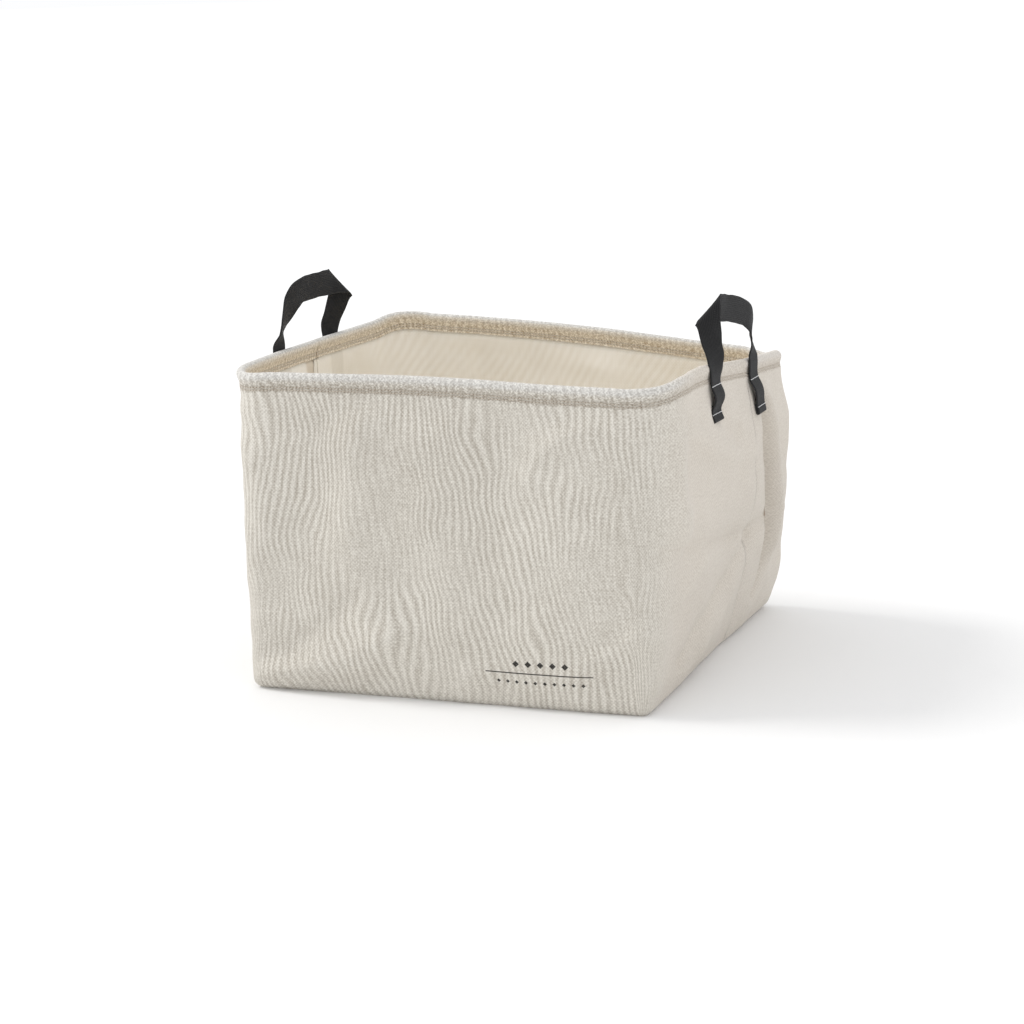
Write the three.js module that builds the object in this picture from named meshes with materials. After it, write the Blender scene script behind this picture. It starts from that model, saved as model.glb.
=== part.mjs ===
// Fabric storage bin: soft rectangular bin of coated canvas, open at the top.
// Millimetres, +Z up, +X along the side the two webbing handles are sewn to,
// -Y is the front panel. The underside of the base panel lies on z = 0 and
// the origin is under the middle of the base.
import * as THREE from 'three';

// ---------------------------------------------------------------- dimensions
const CLOTH = 1.6;              // coated canvas, thickness of a wall or the base
const GAP = 0.3;                // clearance between two pieces that touch
// corners of the wall outline before the corner radius, at the rim and at the base
const RIM_FR = [208, -190], RIM_BR = [220, 190], RIM_BL = [-213, 188], RIM_FL = [-212, -198];
const BASE_FR = [195, -195], BASE_BR = [197, 212], BASE_BL = [-197, 198], BASE_FL = [-202, -204];
const RADIUS_RIM = 46;          // corner radius of the rim hoop
const RADIUS_BASE = 15;         // corner radius where wall meets base
const FOOT_INSET = 6;           // the wall rolls in towards the base seam by this much
const FOOT_HEIGHT = 36;         // over this height
// how far the middle of each wall stands out from the line between its corners,
// as [share of the height, outward mm]
const BOW_RIGHT = [[0, -3], [0.25, 0], [0.5, 3], [0.8, 5], [0.93, 2], [1, 0.5]];
const BOW_LEFT = [[0, 1], [0.25, 6], [0.5, 9], [0.8, 13], [0.93, 10], [1, 7.5]];
const BOW_FRONT = [[0, 1], [0.25, 4.5], [0.5, 6], [0.8, 4], [1, 0.5]];
const BOW_BACK = [[0, 1], [0.25, 5], [0.5, 7], [0.8, 9.5], [1, 8.5]];
// the back half of the right wall and the corner after it belly out further:
// [share of the height, outward mm], and the share of it at each place
const BELLY = [[0, 0], [0.2, 7.5], [0.45, 12.5], [0.75, 10.5], [0.9, 4], [1, 0]];
const BELLY_AT = [[-0.4, 0], [0.3, 0.55], [0.95, 1], [1.35, 1], [2.1, 0]];
// height of the rim round the bin: [place on the outline, mm], the outline runs
// 0-1 right wall, 1-2 back right corner, 2-3 back wall, 3-4 back left corner,
// 4-5 left wall, 5-6 front left corner, 6-7 front wall, 7-8 front right corner
const RIM_HEIGHT = [[-0.5, 294], [-0.05, 297.5], [0.2, 298.5], [0.42, 292], [0.68, 284.5], [0.95, 279], [1.5, 268.5],
  [2.05, 275], [2.5, 289], [3.0, 300], [3.5, 303], [4.1, 297.5], [4.5, 297], [5.0, 298.5], [5.5, 297], [6.15, 300], [6.5, 300],
  [6.85, 295.5], [7.5, 294]];
const SEAM_RIGHT = 0.612;       // place of the side seam on the right wall
const SEAM_LEFT = 4.44;         // and on the left wall
// turned over hem round the wire hoop
const HEM_DEPTH = 18;           // from the top of the rim to the lower edge of the hem
const HEM_PLY = 1.0;            // thickness of each hem ply
const TUBE_R = 4.2;             // outside radius of the rounded top edge
const WALL_TOP = 10;            // the wall cloth ends this far under the top of the rim
const WIRE_R = 1.6;             // steel hoop
const WIRE_DROP = 4.8;          // its centre under the top of the rim
const FERRULE_R = 2.65, FERRULE_LENGTH = 32;
const STITCH_ROWS = [13.4, 15.8]; // hem stitch rows under the top of the rim
const THREAD = 0.5;
// webbing handles
const WEB_W = 25, WEB_T = 1.8;
const LEG_SPAN = 114;           // between the middles of a handle's two legs
const RIGHT_MIDDLE = -8, LEFT_MIDDLE = 0; // place of each handle along its end wall
const PIVOT_UP = 2.8;           // fold line of the handle above the top of the rim
const SLANT_LEAST = 0.8;        // keeps the corners of a slanting fold rounded
const TACK_UPPER = 18.6, TACK_LOWER = 45.5, TAIL_END = 52.5;
const TAIL_LEAN = 0.2;          // the sewn down ends slant towards the back of the bin
const TACK_W = 23, TACK_H = 2.4, TACK_T = 0.8;

// ------------------------------------------------------------------- helpers
function table(rows, x) {
  if (x <= rows[0][0]) return rows[0][1];
  for (let i = 1; i < rows.length; i++) {
    if (x <= rows[i][0]) {
      const k = (x - rows[i - 1][0]) / (rows[i][0] - rows[i - 1][0]);
      const e = k * k * (3 - 2 * k);
      return rows[i - 1][1] + (rows[i][1] - rows[i - 1][1]) * e;
    }
  }
  return rows[rows.length - 1][1];
}
const lerp = (a, b, k) => a + (b - a) * k;
const mix = (a, b, k) => a.map((v, i) => lerp(v, b[i], k));
const unit = (v) => { const l = Math.hypot(...v); return v.map((c) => c / l); };
const cross = (a, b) => [a[1] * b[2] - a[2] * b[1], a[2] * b[0] - a[0] * b[2], a[0] * b[1] - a[1] * b[0]];
const dot = (a, b) => a[0] * b[0] + a[1] * b[1] + a[2] * b[2];

const SIDES = [
  [RIM_FR, RIM_BR, BASE_FR, BASE_BR, BOW_RIGHT],
  [RIM_BR, RIM_BL, BASE_BR, BASE_BL, BOW_BACK],
  [RIM_BL, RIM_FL, BASE_BL, BASE_FL, BOW_LEFT],
  [RIM_FL, RIM_FR, BASE_FL, BASE_FR, BOW_FRONT],
];
function side(k, v) {
  const [ra, rb, ba, bb, bowRows] = SIDES[((k % 4) + 4) % 4];
  const a = mix(ba, ra, v), b = mix(bb, rb, v);
  const r = lerp(RADIUS_BASE, RADIUS_RIM, v);
  const len = Math.hypot(b[0] - a[0], b[1] - a[1]);
  const e = [(b[0] - a[0]) / len, (b[1] - a[1]) / len];
  const n = [e[1], -e[0]];
  const bow = table(bowRows, v);
  const run = len - 2 * r;
  return {
    point: (t) => {
      const d = bow * (1 - (2 * t - 1) ** 2);
      return [a[0] + e[0] * (r + run * t) + n[0] * d, a[1] + e[1] * (r + run * t) + n[1] * d];
    },
    direction: (t) => {
      const s = (bow * -4 * (2 * t - 1)) / run, l = Math.hypot(1, s);
      return [(e[0] + n[0] * s) / l, (e[1] + n[1] * s) / l];
    },
    r,
  };
}
// outline of the outside of the wall at place g (0 to 8) and share of height v
function outline(g, v) {
  const w = ((g % 8) + 8) % 8;
  const part = Math.floor(w), t = w - part;
  if (part % 2 === 0) return side(part / 2, v).point(t);
  const s0 = side((part - 1) / 2, v), s1 = side((part + 1) / 2, v);
  const p0 = s0.point(1), d0 = s0.direction(1), p3 = s1.point(0), d3 = s1.direction(0);
  const k = 0.5523 * s0.r;
  const p1 = [p0[0] + d0[0] * k, p0[1] + d0[1] * k], p2 = [p3[0] - d3[0] * k, p3[1] - d3[1] * k];
  const u = 1 - t;
  return [0, 1].map((i) => u * u * u * p0[i] + 3 * u * u * t * p1[i] + 3 * u * t * t * p2[i] + t * t * t * p3[i]);
}
function normal(g, v) {
  const a = outline(g - 0.004, v), b = outline(g + 0.004, v);
  const l = Math.hypot(b[0] - a[0], b[1] - a[1]);
  return [(b[1] - a[1]) / l, -(b[0] - a[0]) / l];
}
// smooth closed curve through the heights
const RIM_SLOPE = RIM_HEIGHT.map((row, i) => {
  const n = RIM_HEIGHT.length - 1, j = i % n;
  const [x0, y0] = RIM_HEIGHT[(j + n - 1) % n], [x1, y1] = RIM_HEIGHT[j], [x2, y2] = RIM_HEIGHT[j + 1];
  const a = j ? x1 - x0 : x1 + 8 - x0, b = x2 - x1;
  return (((y1 - y0) / a) * b + ((y2 - y1) / b) * a) / (a + b);
});
function rimHeight(g) {
  let w = ((g % 8) + 8) % 8;
  if (w > 7.5) w -= 8;
  let i = 0;
  while (i < RIM_HEIGHT.length - 2 && w > RIM_HEIGHT[i + 1][0]) i += 1;
  const [x0, y0] = RIM_HEIGHT[i], [x1, y1] = RIM_HEIGHT[i + 1];
  const d = x1 - x0, k = (w - x0) / d, e = k * k * (3 - 2 * k);
  return y0 + (y1 - y0) * e + d * (RIM_SLOPE[i] * k * (1 - k) ** 2 - RIM_SLOPE[i + 1] * k * k * (1 - k));
}
// point on the wall at place g, height z, standing off outwards by n
function wall(g, z, n = 0) {
  const h = rimHeight(g), v = Math.max(0, Math.min(1, z / h));
  const p = outline(g, v), m = normal(g, v);
  const foot = z < FOOT_HEIGHT ? FOOT_INSET * (1 - Math.max(z, 0) / FOOT_HEIGHT) ** 2 : 0;
  const w = ((g % 8) + 8) % 8;
  const off = n - foot + table(BELLY, v) * table(BELLY_AT, w > 7 ? w - 8 : w);
  return [p[0] + m[0] * off, p[1] + m[1] * off, z];
}
// the same measured down from the top of the rim
const rim = (g, drop, n = 0) => wall(g, rimHeight(g) - drop, n);

function places(g0, g1) {
  const out = [g0];
  for (let part = Math.floor(g0); part < g1; part++) {
    const steps = part % 2 === 0 ? 10 : 7;
    for (let i = 0; i < steps; i++) {
      const g = part + i / steps;
      if (g > g0 + 0.02 && g < g1 - 0.02) out.push(g);
    }
  }
  out.push(g1);
  return out;
}
const FRONT = places(SEAM_LEFT + 0.0006, 8 + SEAM_RIGHT - 0.0006);
const BACK = places(SEAM_RIGHT + 0.0006, SEAM_LEFT - 0.0006);
const RING = places(0, 8).slice(0, -1);

function mesh(name, positions, faces, material) {
  const geometry = new THREE.BufferGeometry();
  geometry.setAttribute('position', new THREE.Float32BufferAttribute(positions.flat(), 3));
  geometry.setIndex(faces.flat());
  geometry.computeVertexNormals();
  const out = new THREE.Mesh(geometry, new THREE.MeshStandardMaterial({ name, ...material }));
  out.name = name;
  return out;
}
// sections[i] is a closed ring of points, all of one length; caps close an open
// sweep, and the faces are turned to look outwards
function sweep(name, sections, closed, material) {
  const m = sections[0].length, n = sections.length;
  const pts = sections.flat();
  const faces = [];
  const tri = (a, b, c) => faces.push([a, b, c]);
  for (let i = 0; i < (closed ? n : n - 1); i++) {
    const i1 = (i + 1) % n;
    for (let j = 0; j < m; j++) {
      const j1 = (j + 1) % m;
      tri(i * m + j, i1 * m + j, i1 * m + j1);
      tri(i * m + j, i1 * m + j1, i * m + j1);
    }
  }
  if (!closed) {
    for (const [i, back] of [[0, false], [n - 1, true]]) {
      const ring = sections[i].map((p) => new THREE.Vector3(...p));
      const nrm = new THREE.Vector3();
      ring.forEach((p, j) => {
        const q = ring[(j + 1) % m];
        nrm.x += (p.y - q.y) * (p.z + q.z); nrm.y += (p.z - q.z) * (p.x + q.x); nrm.z += (p.x - q.x) * (p.y + q.y);
      });
      nrm.normalize();
      const ax = new THREE.Vector3().subVectors(ring[1], ring[0]).normalize();
      const ay = new THREE.Vector3().crossVectors(nrm, ax);
      const flat = ring.map((p) => new THREE.Vector2(p.dot(ax), p.dot(ay)));
      for (const [a, b, c] of THREE.ShapeUtils.triangulateShape(flat, [])) {
        const first = i * m;
        // the cap looks out of the sweep
        if (back) tri(first + a, first + c, first + b); else tri(first + a, first + b, first + c);
      }
    }
  }
  let volume = 0;
  for (const [a, b, c] of faces) volume += dot(pts[a], cross(pts[b], pts[c]));
  if (volume < 0) faces.forEach((f) => f.reverse());
  return mesh(name, pts, faces, material);
}
// closed loop of (n, drop) points round the hem, swept along places
const alongRim = (name, gs, profile, closed, material) =>
  sweep(name, gs.map((g) => profile.map(([n, drop]) => rim(g, drop, n))), closed, material);

// ----------------------------------------------------------------- materials
const CANVAS = { color: 0xd3cdc2, roughness: 0.95, metalness: 0 };
const STEEL = { color: 0x9a9c9e, roughness: 0.35, metalness: 1 };
const THREAD_PALE = { color: 0xe6e1d6, roughness: 0.8, metalness: 0 };
const THREAD_WHITE = { color: 0xf2f1ee, roughness: 0.8, metalness: 0 };
const WEBBING = { color: 0x212226, roughness: 0.85, metalness: 0 };

const bin = new THREE.Group();
bin.name = 'fabric_storage_bin';

// --------------------------------------------------------------- wall panels
// each panel wraps half the bin and is joined to the other at the side seams
const ROWS = [0, 0.02, 0.05, 0.1, 0.18, 0.3, 0.44, 0.58, 0.7, 0.8, 0.88, 0.94, 1];
const heights = (g) => [...ROWS.map((k) => k * (rimHeight(g) - HEM_DEPTH)), rimHeight(g) - WALL_TOP];
function panel(name, gs) {
  const sections = gs.map((g) => {
    const zs = heights(g);
    return [...zs.map((z) => wall(g, z, 0)), ...zs.map((z) => wall(g, z, -CLOTH)).reverse()];
  });
  return sweep(name, sections, false, CANVAS);
}
bin.add(panel('front_panel', FRONT), panel('back_panel', BACK));

// ---------------------------------------------------------------- base panel
{
  const edge = RING.map((g) => wall(g, 0, -CLOTH - GAP - 0.05));
  const shape = new THREE.Shape(edge.map(([x, y]) => new THREE.Vector2(x, y)));
  const geometry = new THREE.ExtrudeGeometry(shape, { depth: CLOTH, bevelEnabled: false, steps: 1 });
  const base = new THREE.Mesh(geometry, new THREE.MeshStandardMaterial({ name: 'base_panel', ...CANVAS }));
  base.name = 'base_panel';
  bin.add(base);
}
// the turned up seam edge inside, all round the base
bin.add(sweep('base_seam', RING.map((g) => {
  const lo = CLOTH + GAP, hi = 11;
  return [wall(g, lo, -CLOTH - GAP), wall(g, hi, -CLOTH - GAP), wall(g, hi, -CLOTH - GAP - 1.4), wall(g, lo, -CLOTH - GAP - 1.4)];
}), true, CANVAS));

// the pressed seam edges inside, down the middle of each end wall
for (const [name, g] of [['side_seam_right', SEAM_RIGHT], ['side_seam_left', SEAM_LEFT]]) {
  const n0 = -CLOTH - GAP - 0.3, n1 = n0 - 1.4, half = 5.5 / 300;
  const sections = [];
  for (const z of heights(g).slice(2, -2)) {
    sections.push([wall(g - half, z, n0), wall(g - half, z, n1), wall(g + half, z, n1), wall(g + half, z, n0)]);
  }
  bin.add(sweep(name, sections, false, CANVAS));
}

// ----------------------------------------------------------------------- hem
const MID = -CLOTH / 2;
const OUT = GAP + HEM_PLY, IN = -CLOTH - GAP - HEM_PLY;
const tube = (r, from, to, steps) => {
  const pts = [];
  for (let i = 0; i <= steps; i++) {
    const a = lerp(from, to, i / steps);
    pts.push([MID + r * Math.cos(a), TUBE_R - r * Math.sin(a)]);
  }
  return pts;
};
const deg = Math.PI / 180;
const HEM = [
  [OUT, HEM_DEPTH], [OUT, 9.2], ...tube(TUBE_R, -18 * deg, 198 * deg, 8), [IN, 9.2], [IN, HEM_DEPTH + 0.8],
  [IN + HEM_PLY, HEM_DEPTH + 0.8], [IN + HEM_PLY, 9.8], ...tube(TUBE_R - HEM_PLY, 198 * deg, -18 * deg, 6),
  [OUT - HEM_PLY, 9.8], [OUT - HEM_PLY, HEM_DEPTH],
];
bin.add(alongRim('front_hem', FRONT, HEM, false, CANVAS), alongRim('back_hem', BACK, HEM, false, CANVAS));

// stitch rows that hold the hem, outside
for (const [which, gs] of [['front', FRONT], ['back', BACK]]) {
  STITCH_ROWS.forEach((drop, i) => {
    const n0 = OUT + GAP, half = THREAD / 2;
    const row = [[n0, drop + half], [n0 + THREAD, drop + half], [n0 + THREAD, drop - half], [n0, drop - half]];
    const inset = gs.slice();
    inset[0] += 0.01; inset[inset.length - 1] -= 0.01;
    bin.add(alongRim(`${which}_hem_stitch_${i ? 'lower' : 'upper'}`, inset, row, false, THREAD_PALE));
  });
}

// --------------------------------------------------- steel hoop and its joint
const round = (r, steps) => Array.from({ length: steps }, (_, i) => {
  const a = (i / steps) * 2 * Math.PI;
  return [MID + r * Math.cos(a), WIRE_DROP - r * Math.sin(a)];
});
const JOIN = 2.5;               // the hoop closes in the middle of the back wall
{
  const half = 0.6 / 330;
  const gs = places(JOIN + half, JOIN + 8 - half);
  bin.add(alongRim('rim_wire', gs, round(WIRE_R, 8), false, STEEL));
  const span = FERRULE_LENGTH / 2 / 330;
  const steps = [JOIN - span, JOIN, JOIN + span];
  // open at both ends: outer wall forward, inner wall back
  const outer = steps.map((g) => round(FERRULE_R, 8).map(([n, d]) => rim(g, d, n)));
  const inner = steps.map((g) => round(WIRE_R + GAP + 0.22, 8).map(([n, d]) => rim(g, d, n)));
  bin.add(sweep('rim_wire_ferrule', [...outer, ...inner.reverse()], true, STEEL));
}

// ------------------------------------------------------------------- handles
// place on an end wall where the outline crosses y at height z
function placeAt(right, y, z) {
  let lo = right ? 0 : 4, hi = lo + 1;
  for (let i = 0; i < 40; i++) {
    const g = (lo + hi) / 2, here = wall(g, z)[1];
    if ((here < y) === right) lo = g; else hi = g;
  }
  return (lo + hi) / 2;
}

const legs = (right) => [-1, 1].map((k) => (right ? RIGHT_MIDDLE : LEFT_MIDDLE) + k * LEG_SPAN / 2);
// the line a handle folds about: through both legs, just over the rim, which
// is lower at one leg than at the other
function fold(right) {
  const s = right ? 1 : -1;
  const ends = legs(right).map((y) => {
    const g = placeAt(right, y, 290);
    return { p: rim(g, TUBE_R, TUBE_R + MID + GAP + WEB_T / 2 + 0.3), h: rimHeight(g) };
  });
  const at = ends.map(({ p, h }) => [p[0], p[1], h + PIVOT_UP]);
  const along = unit(at[1].map((c, j) => (c - at[0][j]) * s));
  const out = unit([along[1], -along[0], 0]);
  return { mid: mix(at[0], at[1], 0.5), along, out, up: cross(out, along), leg: (i) => at[i] };
}

// middle of the webbing as [outwards, along, up] from the fold line, and the
// direction of the line straight across it, slanting where it is folded over
const RIGHT_LOOP = [
  [0, -57, 0.7, [0, 1, 0]], [-1.2, -57, 7.5, [0.36, 1, 0]], [-3.7, -57, 14.5, [0.5, 0.91, 0]],
  [-6, -57, 27, [0.65, 0.8, 0]], [-7.8, -57, 36, [0.65, 0.65, 0.35]], [-8.8, -55.5, 42.5, [0.55, 0.55, 0.65]],
  [-8.8, -51.5, 46.8, [0.5, 0.5, 0.72]], [-6.8, -45.5, 48, [0.35, 0.4, 0.85]], [-4.5, -38, 47.6, [0.15, 0.2, 1]],
  [-3.8, -18, 46.6, [0, 0.05, 1]], [-2.2, -2, 45.4, [0, 0, 1]], [-0.6, 10, 43.8, [0, 0, 1]],
  [1, 24, 41, [0, 0.15, 1]], [2.6, 36, 35.5, [-0.05, 0.5, 0.85]], [2.2, 43, 27.5, [-0.2, 0.85, 0.45]],
  [0, 48.5, 18.5, [-0.37, 0.93, 0.1]], [0.3, 53.5, 9, [-0.25, 0.97, 0]], [0, 57, 0.7, [0, 1, 0]],
];
const LEFT_LOOP = [
  [0, -57, 0.7, [0, 1, 0]], [-1.5, -57, 9, [0.42, 1, 0]], [-6.5, -57, 20, [0.6, 1, 0]],
  [-10.3, -57, 30, [0.75, 1, 0.1]], [-14, -57, 40, [0.65, 0.85, 0.6]], [-16, -54.5, 46.8, [0.6, 0.8, 0.95]],
  [-15, -48, 51.2, [0.5, 0.7, 1.1]], [-12.5, -39, 51.6, [0.15, 0.2, 1]], [-10, -20, 51.4, [0, 0, 1]],
  [-8.3, -2, 51, [0, 0, 1]], [-7.6, 17, 50, [0, 0.1, 1]], [-7, 30, 46, [0.1, 0.45, 1]],
  [-6, 38.5, 39.5, [0.1, 0.75, 0.6]], [-5.3, 46, 29, [-0.1, 0.9, 0.3]], [-3.8, 51.5, 20, [-0.3, 0.93, 0.1]],
  [-2, 54.5, 12, [-0.37, 0.93, 0]], [-0.5, 56.5, 5, [-0.1, 1, 0]], [0, 57, 0.7, [0, 1, 0]],
];

// sewn down part of each leg, hanging flat on the outside of the wall with its
// end folded under, and the two tack rows across it
for (const right of [true, false]) {
  const where = right ? 'right' : 'left';
  const line = fold(right);
  for (const [i, leg] of ['front', 'rear'].entries()) {
    const y = legs(right)[i];
    const top = rimHeight(placeAt(right, y, 290));
    const lean = (drop) => y + TAIL_LEAN * Math.max(0, drop - TACK_UPPER);
    const at = (drop, n, thick, straight) => {
      const z = top - drop, g = placeAt(right, lean(drop), z);
      const p = wall(g, z, n), m = normal(g, z / rimHeight(g));
      const across = unit([lerp(-m[1], line.along[0], straight), lerp(m[0], line.along[1], straight), 0]);
      const out = [across[1], -across[0], 0];
      return [[-1, -1], [1, -1], [1, 1], [-1, 1]].map(([a, b]) => [
        p[0] + across[0] * a * WEB_W / 2 + out[0] * b * thick / 2,
        p[1] + across[1] * a * WEB_W / 2 + out[1] * b * thick / 2, z]);
    };
    const hinge = (drop) => {
      const c = line.leg(i);
      return [[-1, -1], [1, -1], [1, 1], [-1, 1]].map(([a, b]) => [0, 1, 2].map((j) => c[j] - line.up[j] * drop
        + line.along[j] * a * WEB_W / 2 + line.out[j] * b * WEB_T / 2));
    };
    const flat = OUT + GAP + THREAD + GAP + WEB_T / 2, sewn = GAP + WEB_T / 2, tip = GAP + WEB_T;
    const sections = [
      hinge(2.4), at(TUBE_R + 0.6, TUBE_R + MID + GAP + WEB_T / 2 + 0.9, WEB_T, 0.7),
      at(9.4, flat + 1.3, WEB_T, 0.3), at(13, flat + 0.2, WEB_T, 0), at(TACK_UPPER, flat + 0.1, WEB_T, 0),
      at(23, flat + 1.0, WEB_T, 0), at(27.5, 4.8, WEB_T, 0), at(32.5, 5.4, WEB_T, 0), at(37.5, 3.9, WEB_T, 0),
      at(42, sewn + 0.5, WEB_T, 0), at(TACK_LOWER + 1.6, sewn + 0.05, WEB_T, 0),
      at(TACK_LOWER + 2.6, tip, 2 * WEB_T, 0), at(TAIL_END - 0.8, tip, 2 * WEB_T, 0),
      at(TAIL_END, tip, 2 * WEB_T - 1.2, 0),
    ];
    bin.add(sweep(`handle_${where}_tail_${leg}`, sections, false, WEBBING));
    for (const [row, drop, n] of [['upper', TACK_UPPER, flat + 0.1], ['lower', TACK_LOWER, sewn + 0.15]]) {
      const face = n + WEB_T / 2 + GAP + 0.15;
      const bar = [drop - TACK_H / 2, drop + TACK_H / 2].map((d) => {
        const z = top - d, g = placeAt(right, lean(drop), top - drop);
        const m = normal(g, (top - drop) / rimHeight(g)), across = [-m[1], m[0]];
        const p = wall(g, top - drop, face);
        return [[-1, 0], [1, 0], [1, 1], [-1, 1]].map(([a, b]) => [
          p[0] + across[0] * a * TACK_W / 2 + m[0] * b * TACK_T,
          p[1] + across[1] * a * TACK_W / 2 + m[1] * b * TACK_T, z]);
      });
      bin.add(sweep(`handle_${where}_tack_${leg}_${row}`, bar, false, THREAD_WHITE));
    }
  }

  // the free loop: the front leg of one handle and the rear leg of the other is
  // folded over aslant into the grip, and the grip turns down into the other leg
  const keys = right ? RIGHT_LOOP : LEFT_LOOP;
  const path = new THREE.CatmullRomCurve3(keys.map(([a, b, c]) => new THREE.Vector3(a, b, c)), false, 'centripetal');
  const count = 56;
  const sections = [];
  for (let i = 0; i <= count; i++) {
    const u = i / count;
    // both ends stand square on the fold line
    const p = path.getPoint(u), turn = Math.min(1, Math.min(i, count - i) / 5);
    const ahead = path.getPoint(Math.min(1, u + 1.2 / count)), behind = path.getPoint(Math.max(0, u - 1.2 / count));
    const t = unit(mix([0, 0, i * 2 < count ? 1 : -1], unit(ahead.sub(behind).toArray()), turn));
    const f = u * (keys.length - 1), k = Math.min(Math.floor(f), keys.length - 2);
    const w = unit(mix(unit(keys[k][3]), unit(keys[k + 1][3]), f - k));
    const o = cross(w, t), slant = Math.hypot(...o);
    const half = WEB_W / 2 / Math.max(slant, SLANT_LEAST), face = unit(o);
    sections.push([[-1, -1], [1, -1], [1, 1], [-1, 1]].map(([a, b]) => {
      const q = [0, 1, 2].map((j) => p.toArray()[j] + w[j] * a * half + face[j] * b * WEB_T / 2);
      // out, along and up from the middle of the fold line; on the left wall the
      // same loop stands turned half round
      return [0, 1, 2].map((j) => line.mid[j] + line.out[j] * q[0] + line.along[j] * q[1] + line.up[j] * q[2]);
    }));
  }
  bin.add(sweep(`handle_${where}_loop`, sections, false, WEBBING));
}

export default bin;
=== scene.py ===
"""Fabric storage bin: coated canvas walls on a steel hoop, two black webbing handles."""
import math

import bpy
import numpy as np
from mathutils import Matrix, Vector


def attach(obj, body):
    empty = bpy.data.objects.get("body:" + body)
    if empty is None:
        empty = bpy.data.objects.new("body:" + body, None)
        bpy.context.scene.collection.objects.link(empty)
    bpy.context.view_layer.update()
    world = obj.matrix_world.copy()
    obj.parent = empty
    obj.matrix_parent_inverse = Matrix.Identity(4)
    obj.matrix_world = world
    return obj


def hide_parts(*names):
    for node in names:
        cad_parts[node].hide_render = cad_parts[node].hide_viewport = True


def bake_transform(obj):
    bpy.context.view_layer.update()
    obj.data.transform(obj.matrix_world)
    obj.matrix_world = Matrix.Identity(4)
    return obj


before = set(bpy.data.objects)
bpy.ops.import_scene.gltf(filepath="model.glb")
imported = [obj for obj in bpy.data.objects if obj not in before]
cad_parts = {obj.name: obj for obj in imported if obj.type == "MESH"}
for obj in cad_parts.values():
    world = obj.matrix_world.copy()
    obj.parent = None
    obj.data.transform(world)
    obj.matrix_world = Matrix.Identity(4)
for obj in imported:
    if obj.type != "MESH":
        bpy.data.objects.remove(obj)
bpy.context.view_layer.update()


MM = 0.001

# ------------------------------------------------------------------ dimensions (mm), as in the CAD
CLOTH, GAP = 1.6, 0.3
RIM_FR, RIM_BR, RIM_BL, RIM_FL = (208, -190), (220, 190), (-213, 188), (-212, -198)
BASE_FR, BASE_BR, BASE_BL, BASE_FL = (195, -195), (197, 212), (-197, 198), (-202, -204)
RADIUS_RIM, RADIUS_BASE, FOOT_INSET, FOOT_HEIGHT = 46.0, 15.0, 6.0, 36.0
BOW_RIGHT = ((0, -3), (0.25, 0), (0.5, 3), (0.8, 5), (0.93, 2), (1, 0.5))
BOW_LEFT = ((0, 1), (0.25, 6), (0.5, 9), (0.8, 13), (0.93, 10), (1, 7.5))
BOW_FRONT = ((0, 1), (0.25, 4.5), (0.5, 6), (0.8, 4), (1, 0.5))
BOW_BACK = ((0, 1), (0.25, 5), (0.5, 7), (0.8, 9.5), (1, 8.5))
BELLY = ((0, 0), (0.2, 7.5), (0.45, 12.5), (0.75, 10.5), (0.9, 4), (1, 0))
BELLY_AT = ((-0.4, 0), (0.3, 0.55), (0.95, 1), (1.35, 1), (2.1, 0))
RIM_HEIGHT = ((-0.5, 294), (-0.05, 297.5), (0.2, 298.5), (0.42, 292), (0.68, 284.5), (0.95, 279), (1.5, 268.5),
              (2.05, 275), (2.5, 289), (3.0, 300), (3.5, 303), (4.1, 297.5), (4.5, 297), (5.0, 298.5),
              (5.5, 297), (6.15, 300), (6.5, 300), (6.85, 295.5), (7.5, 294))
SEAM_RIGHT, SEAM_LEFT = 0.612, 4.44
TUBE_R, HEM_DEPTH = 4.2, 18.0
MID, OUT = -CLOTH / 2, 1.3
THREAD = 0.5
STITCH_ROWS = (13.4, 15.8)
WEB_W, WEB_T, LEG_SPAN = 25.0, 1.8, 114.0
RIGHT_MIDDLE, LEFT_MIDDLE, PIVOT_UP = -8.0, 0.0, 2.8
TACK_UPPER, TACK_LOWER, TAIL_END, TAIL_LEAN, SLANT_LEAST = 18.6, 45.5, 52.5, 0.2, 0.8


# ------------------------------------------------------------------ shape of the bin
def table(rows, x):
    xs = np.array([r[0] for r in rows], float)
    ys = np.array([r[1] for r in rows], float)
    x = np.asarray(x, float)
    i = np.clip(np.searchsorted(xs, x), 1, len(xs) - 1)
    k = np.clip((x - xs[i - 1]) / (xs[i] - xs[i - 1]), 0, 1)
    return ys[i - 1] + (ys[i] - ys[i - 1]) * k * k * (3 - 2 * k)


def smooth(a, b, x):
    k = np.clip((np.asarray(x, float) - a) / (b - a), 0, 1)
    return k * k * (3 - 2 * k)


SIDES = (
    (RIM_FR, RIM_BR, BASE_FR, BASE_BR, BOW_RIGHT),
    (RIM_BR, RIM_BL, BASE_BR, BASE_BL, BOW_BACK),
    (RIM_BL, RIM_FL, BASE_BL, BASE_FL, BOW_LEFT),
    (RIM_FL, RIM_FR, BASE_FL, BASE_FR, BOW_FRONT),
)


def side(k, v, t):
    ra, rb, ba, bb, rows = SIDES[k % 4]
    a = np.stack([ba[i] + (ra[i] - ba[i]) * v for i in (0, 1)], -1)
    b = np.stack([bb[i] + (rb[i] - bb[i]) * v for i in (0, 1)], -1)
    r = RADIUS_BASE + (RADIUS_RIM - RADIUS_BASE) * v
    d = b - a
    length = np.hypot(d[..., 0], d[..., 1])
    e = d / length[..., None]
    n = np.stack([e[..., 1], -e[..., 0]], -1)
    bow, run = table(rows, v), length - 2 * r
    p = a + e * (r + run * t)[..., None] + n * (bow * (1 - (2 * t - 1) ** 2))[..., None]
    s = bow * -4 * (2 * t - 1) / run
    return p, (e + n * s[..., None]) / np.hypot(1, s)[..., None], r


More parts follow.
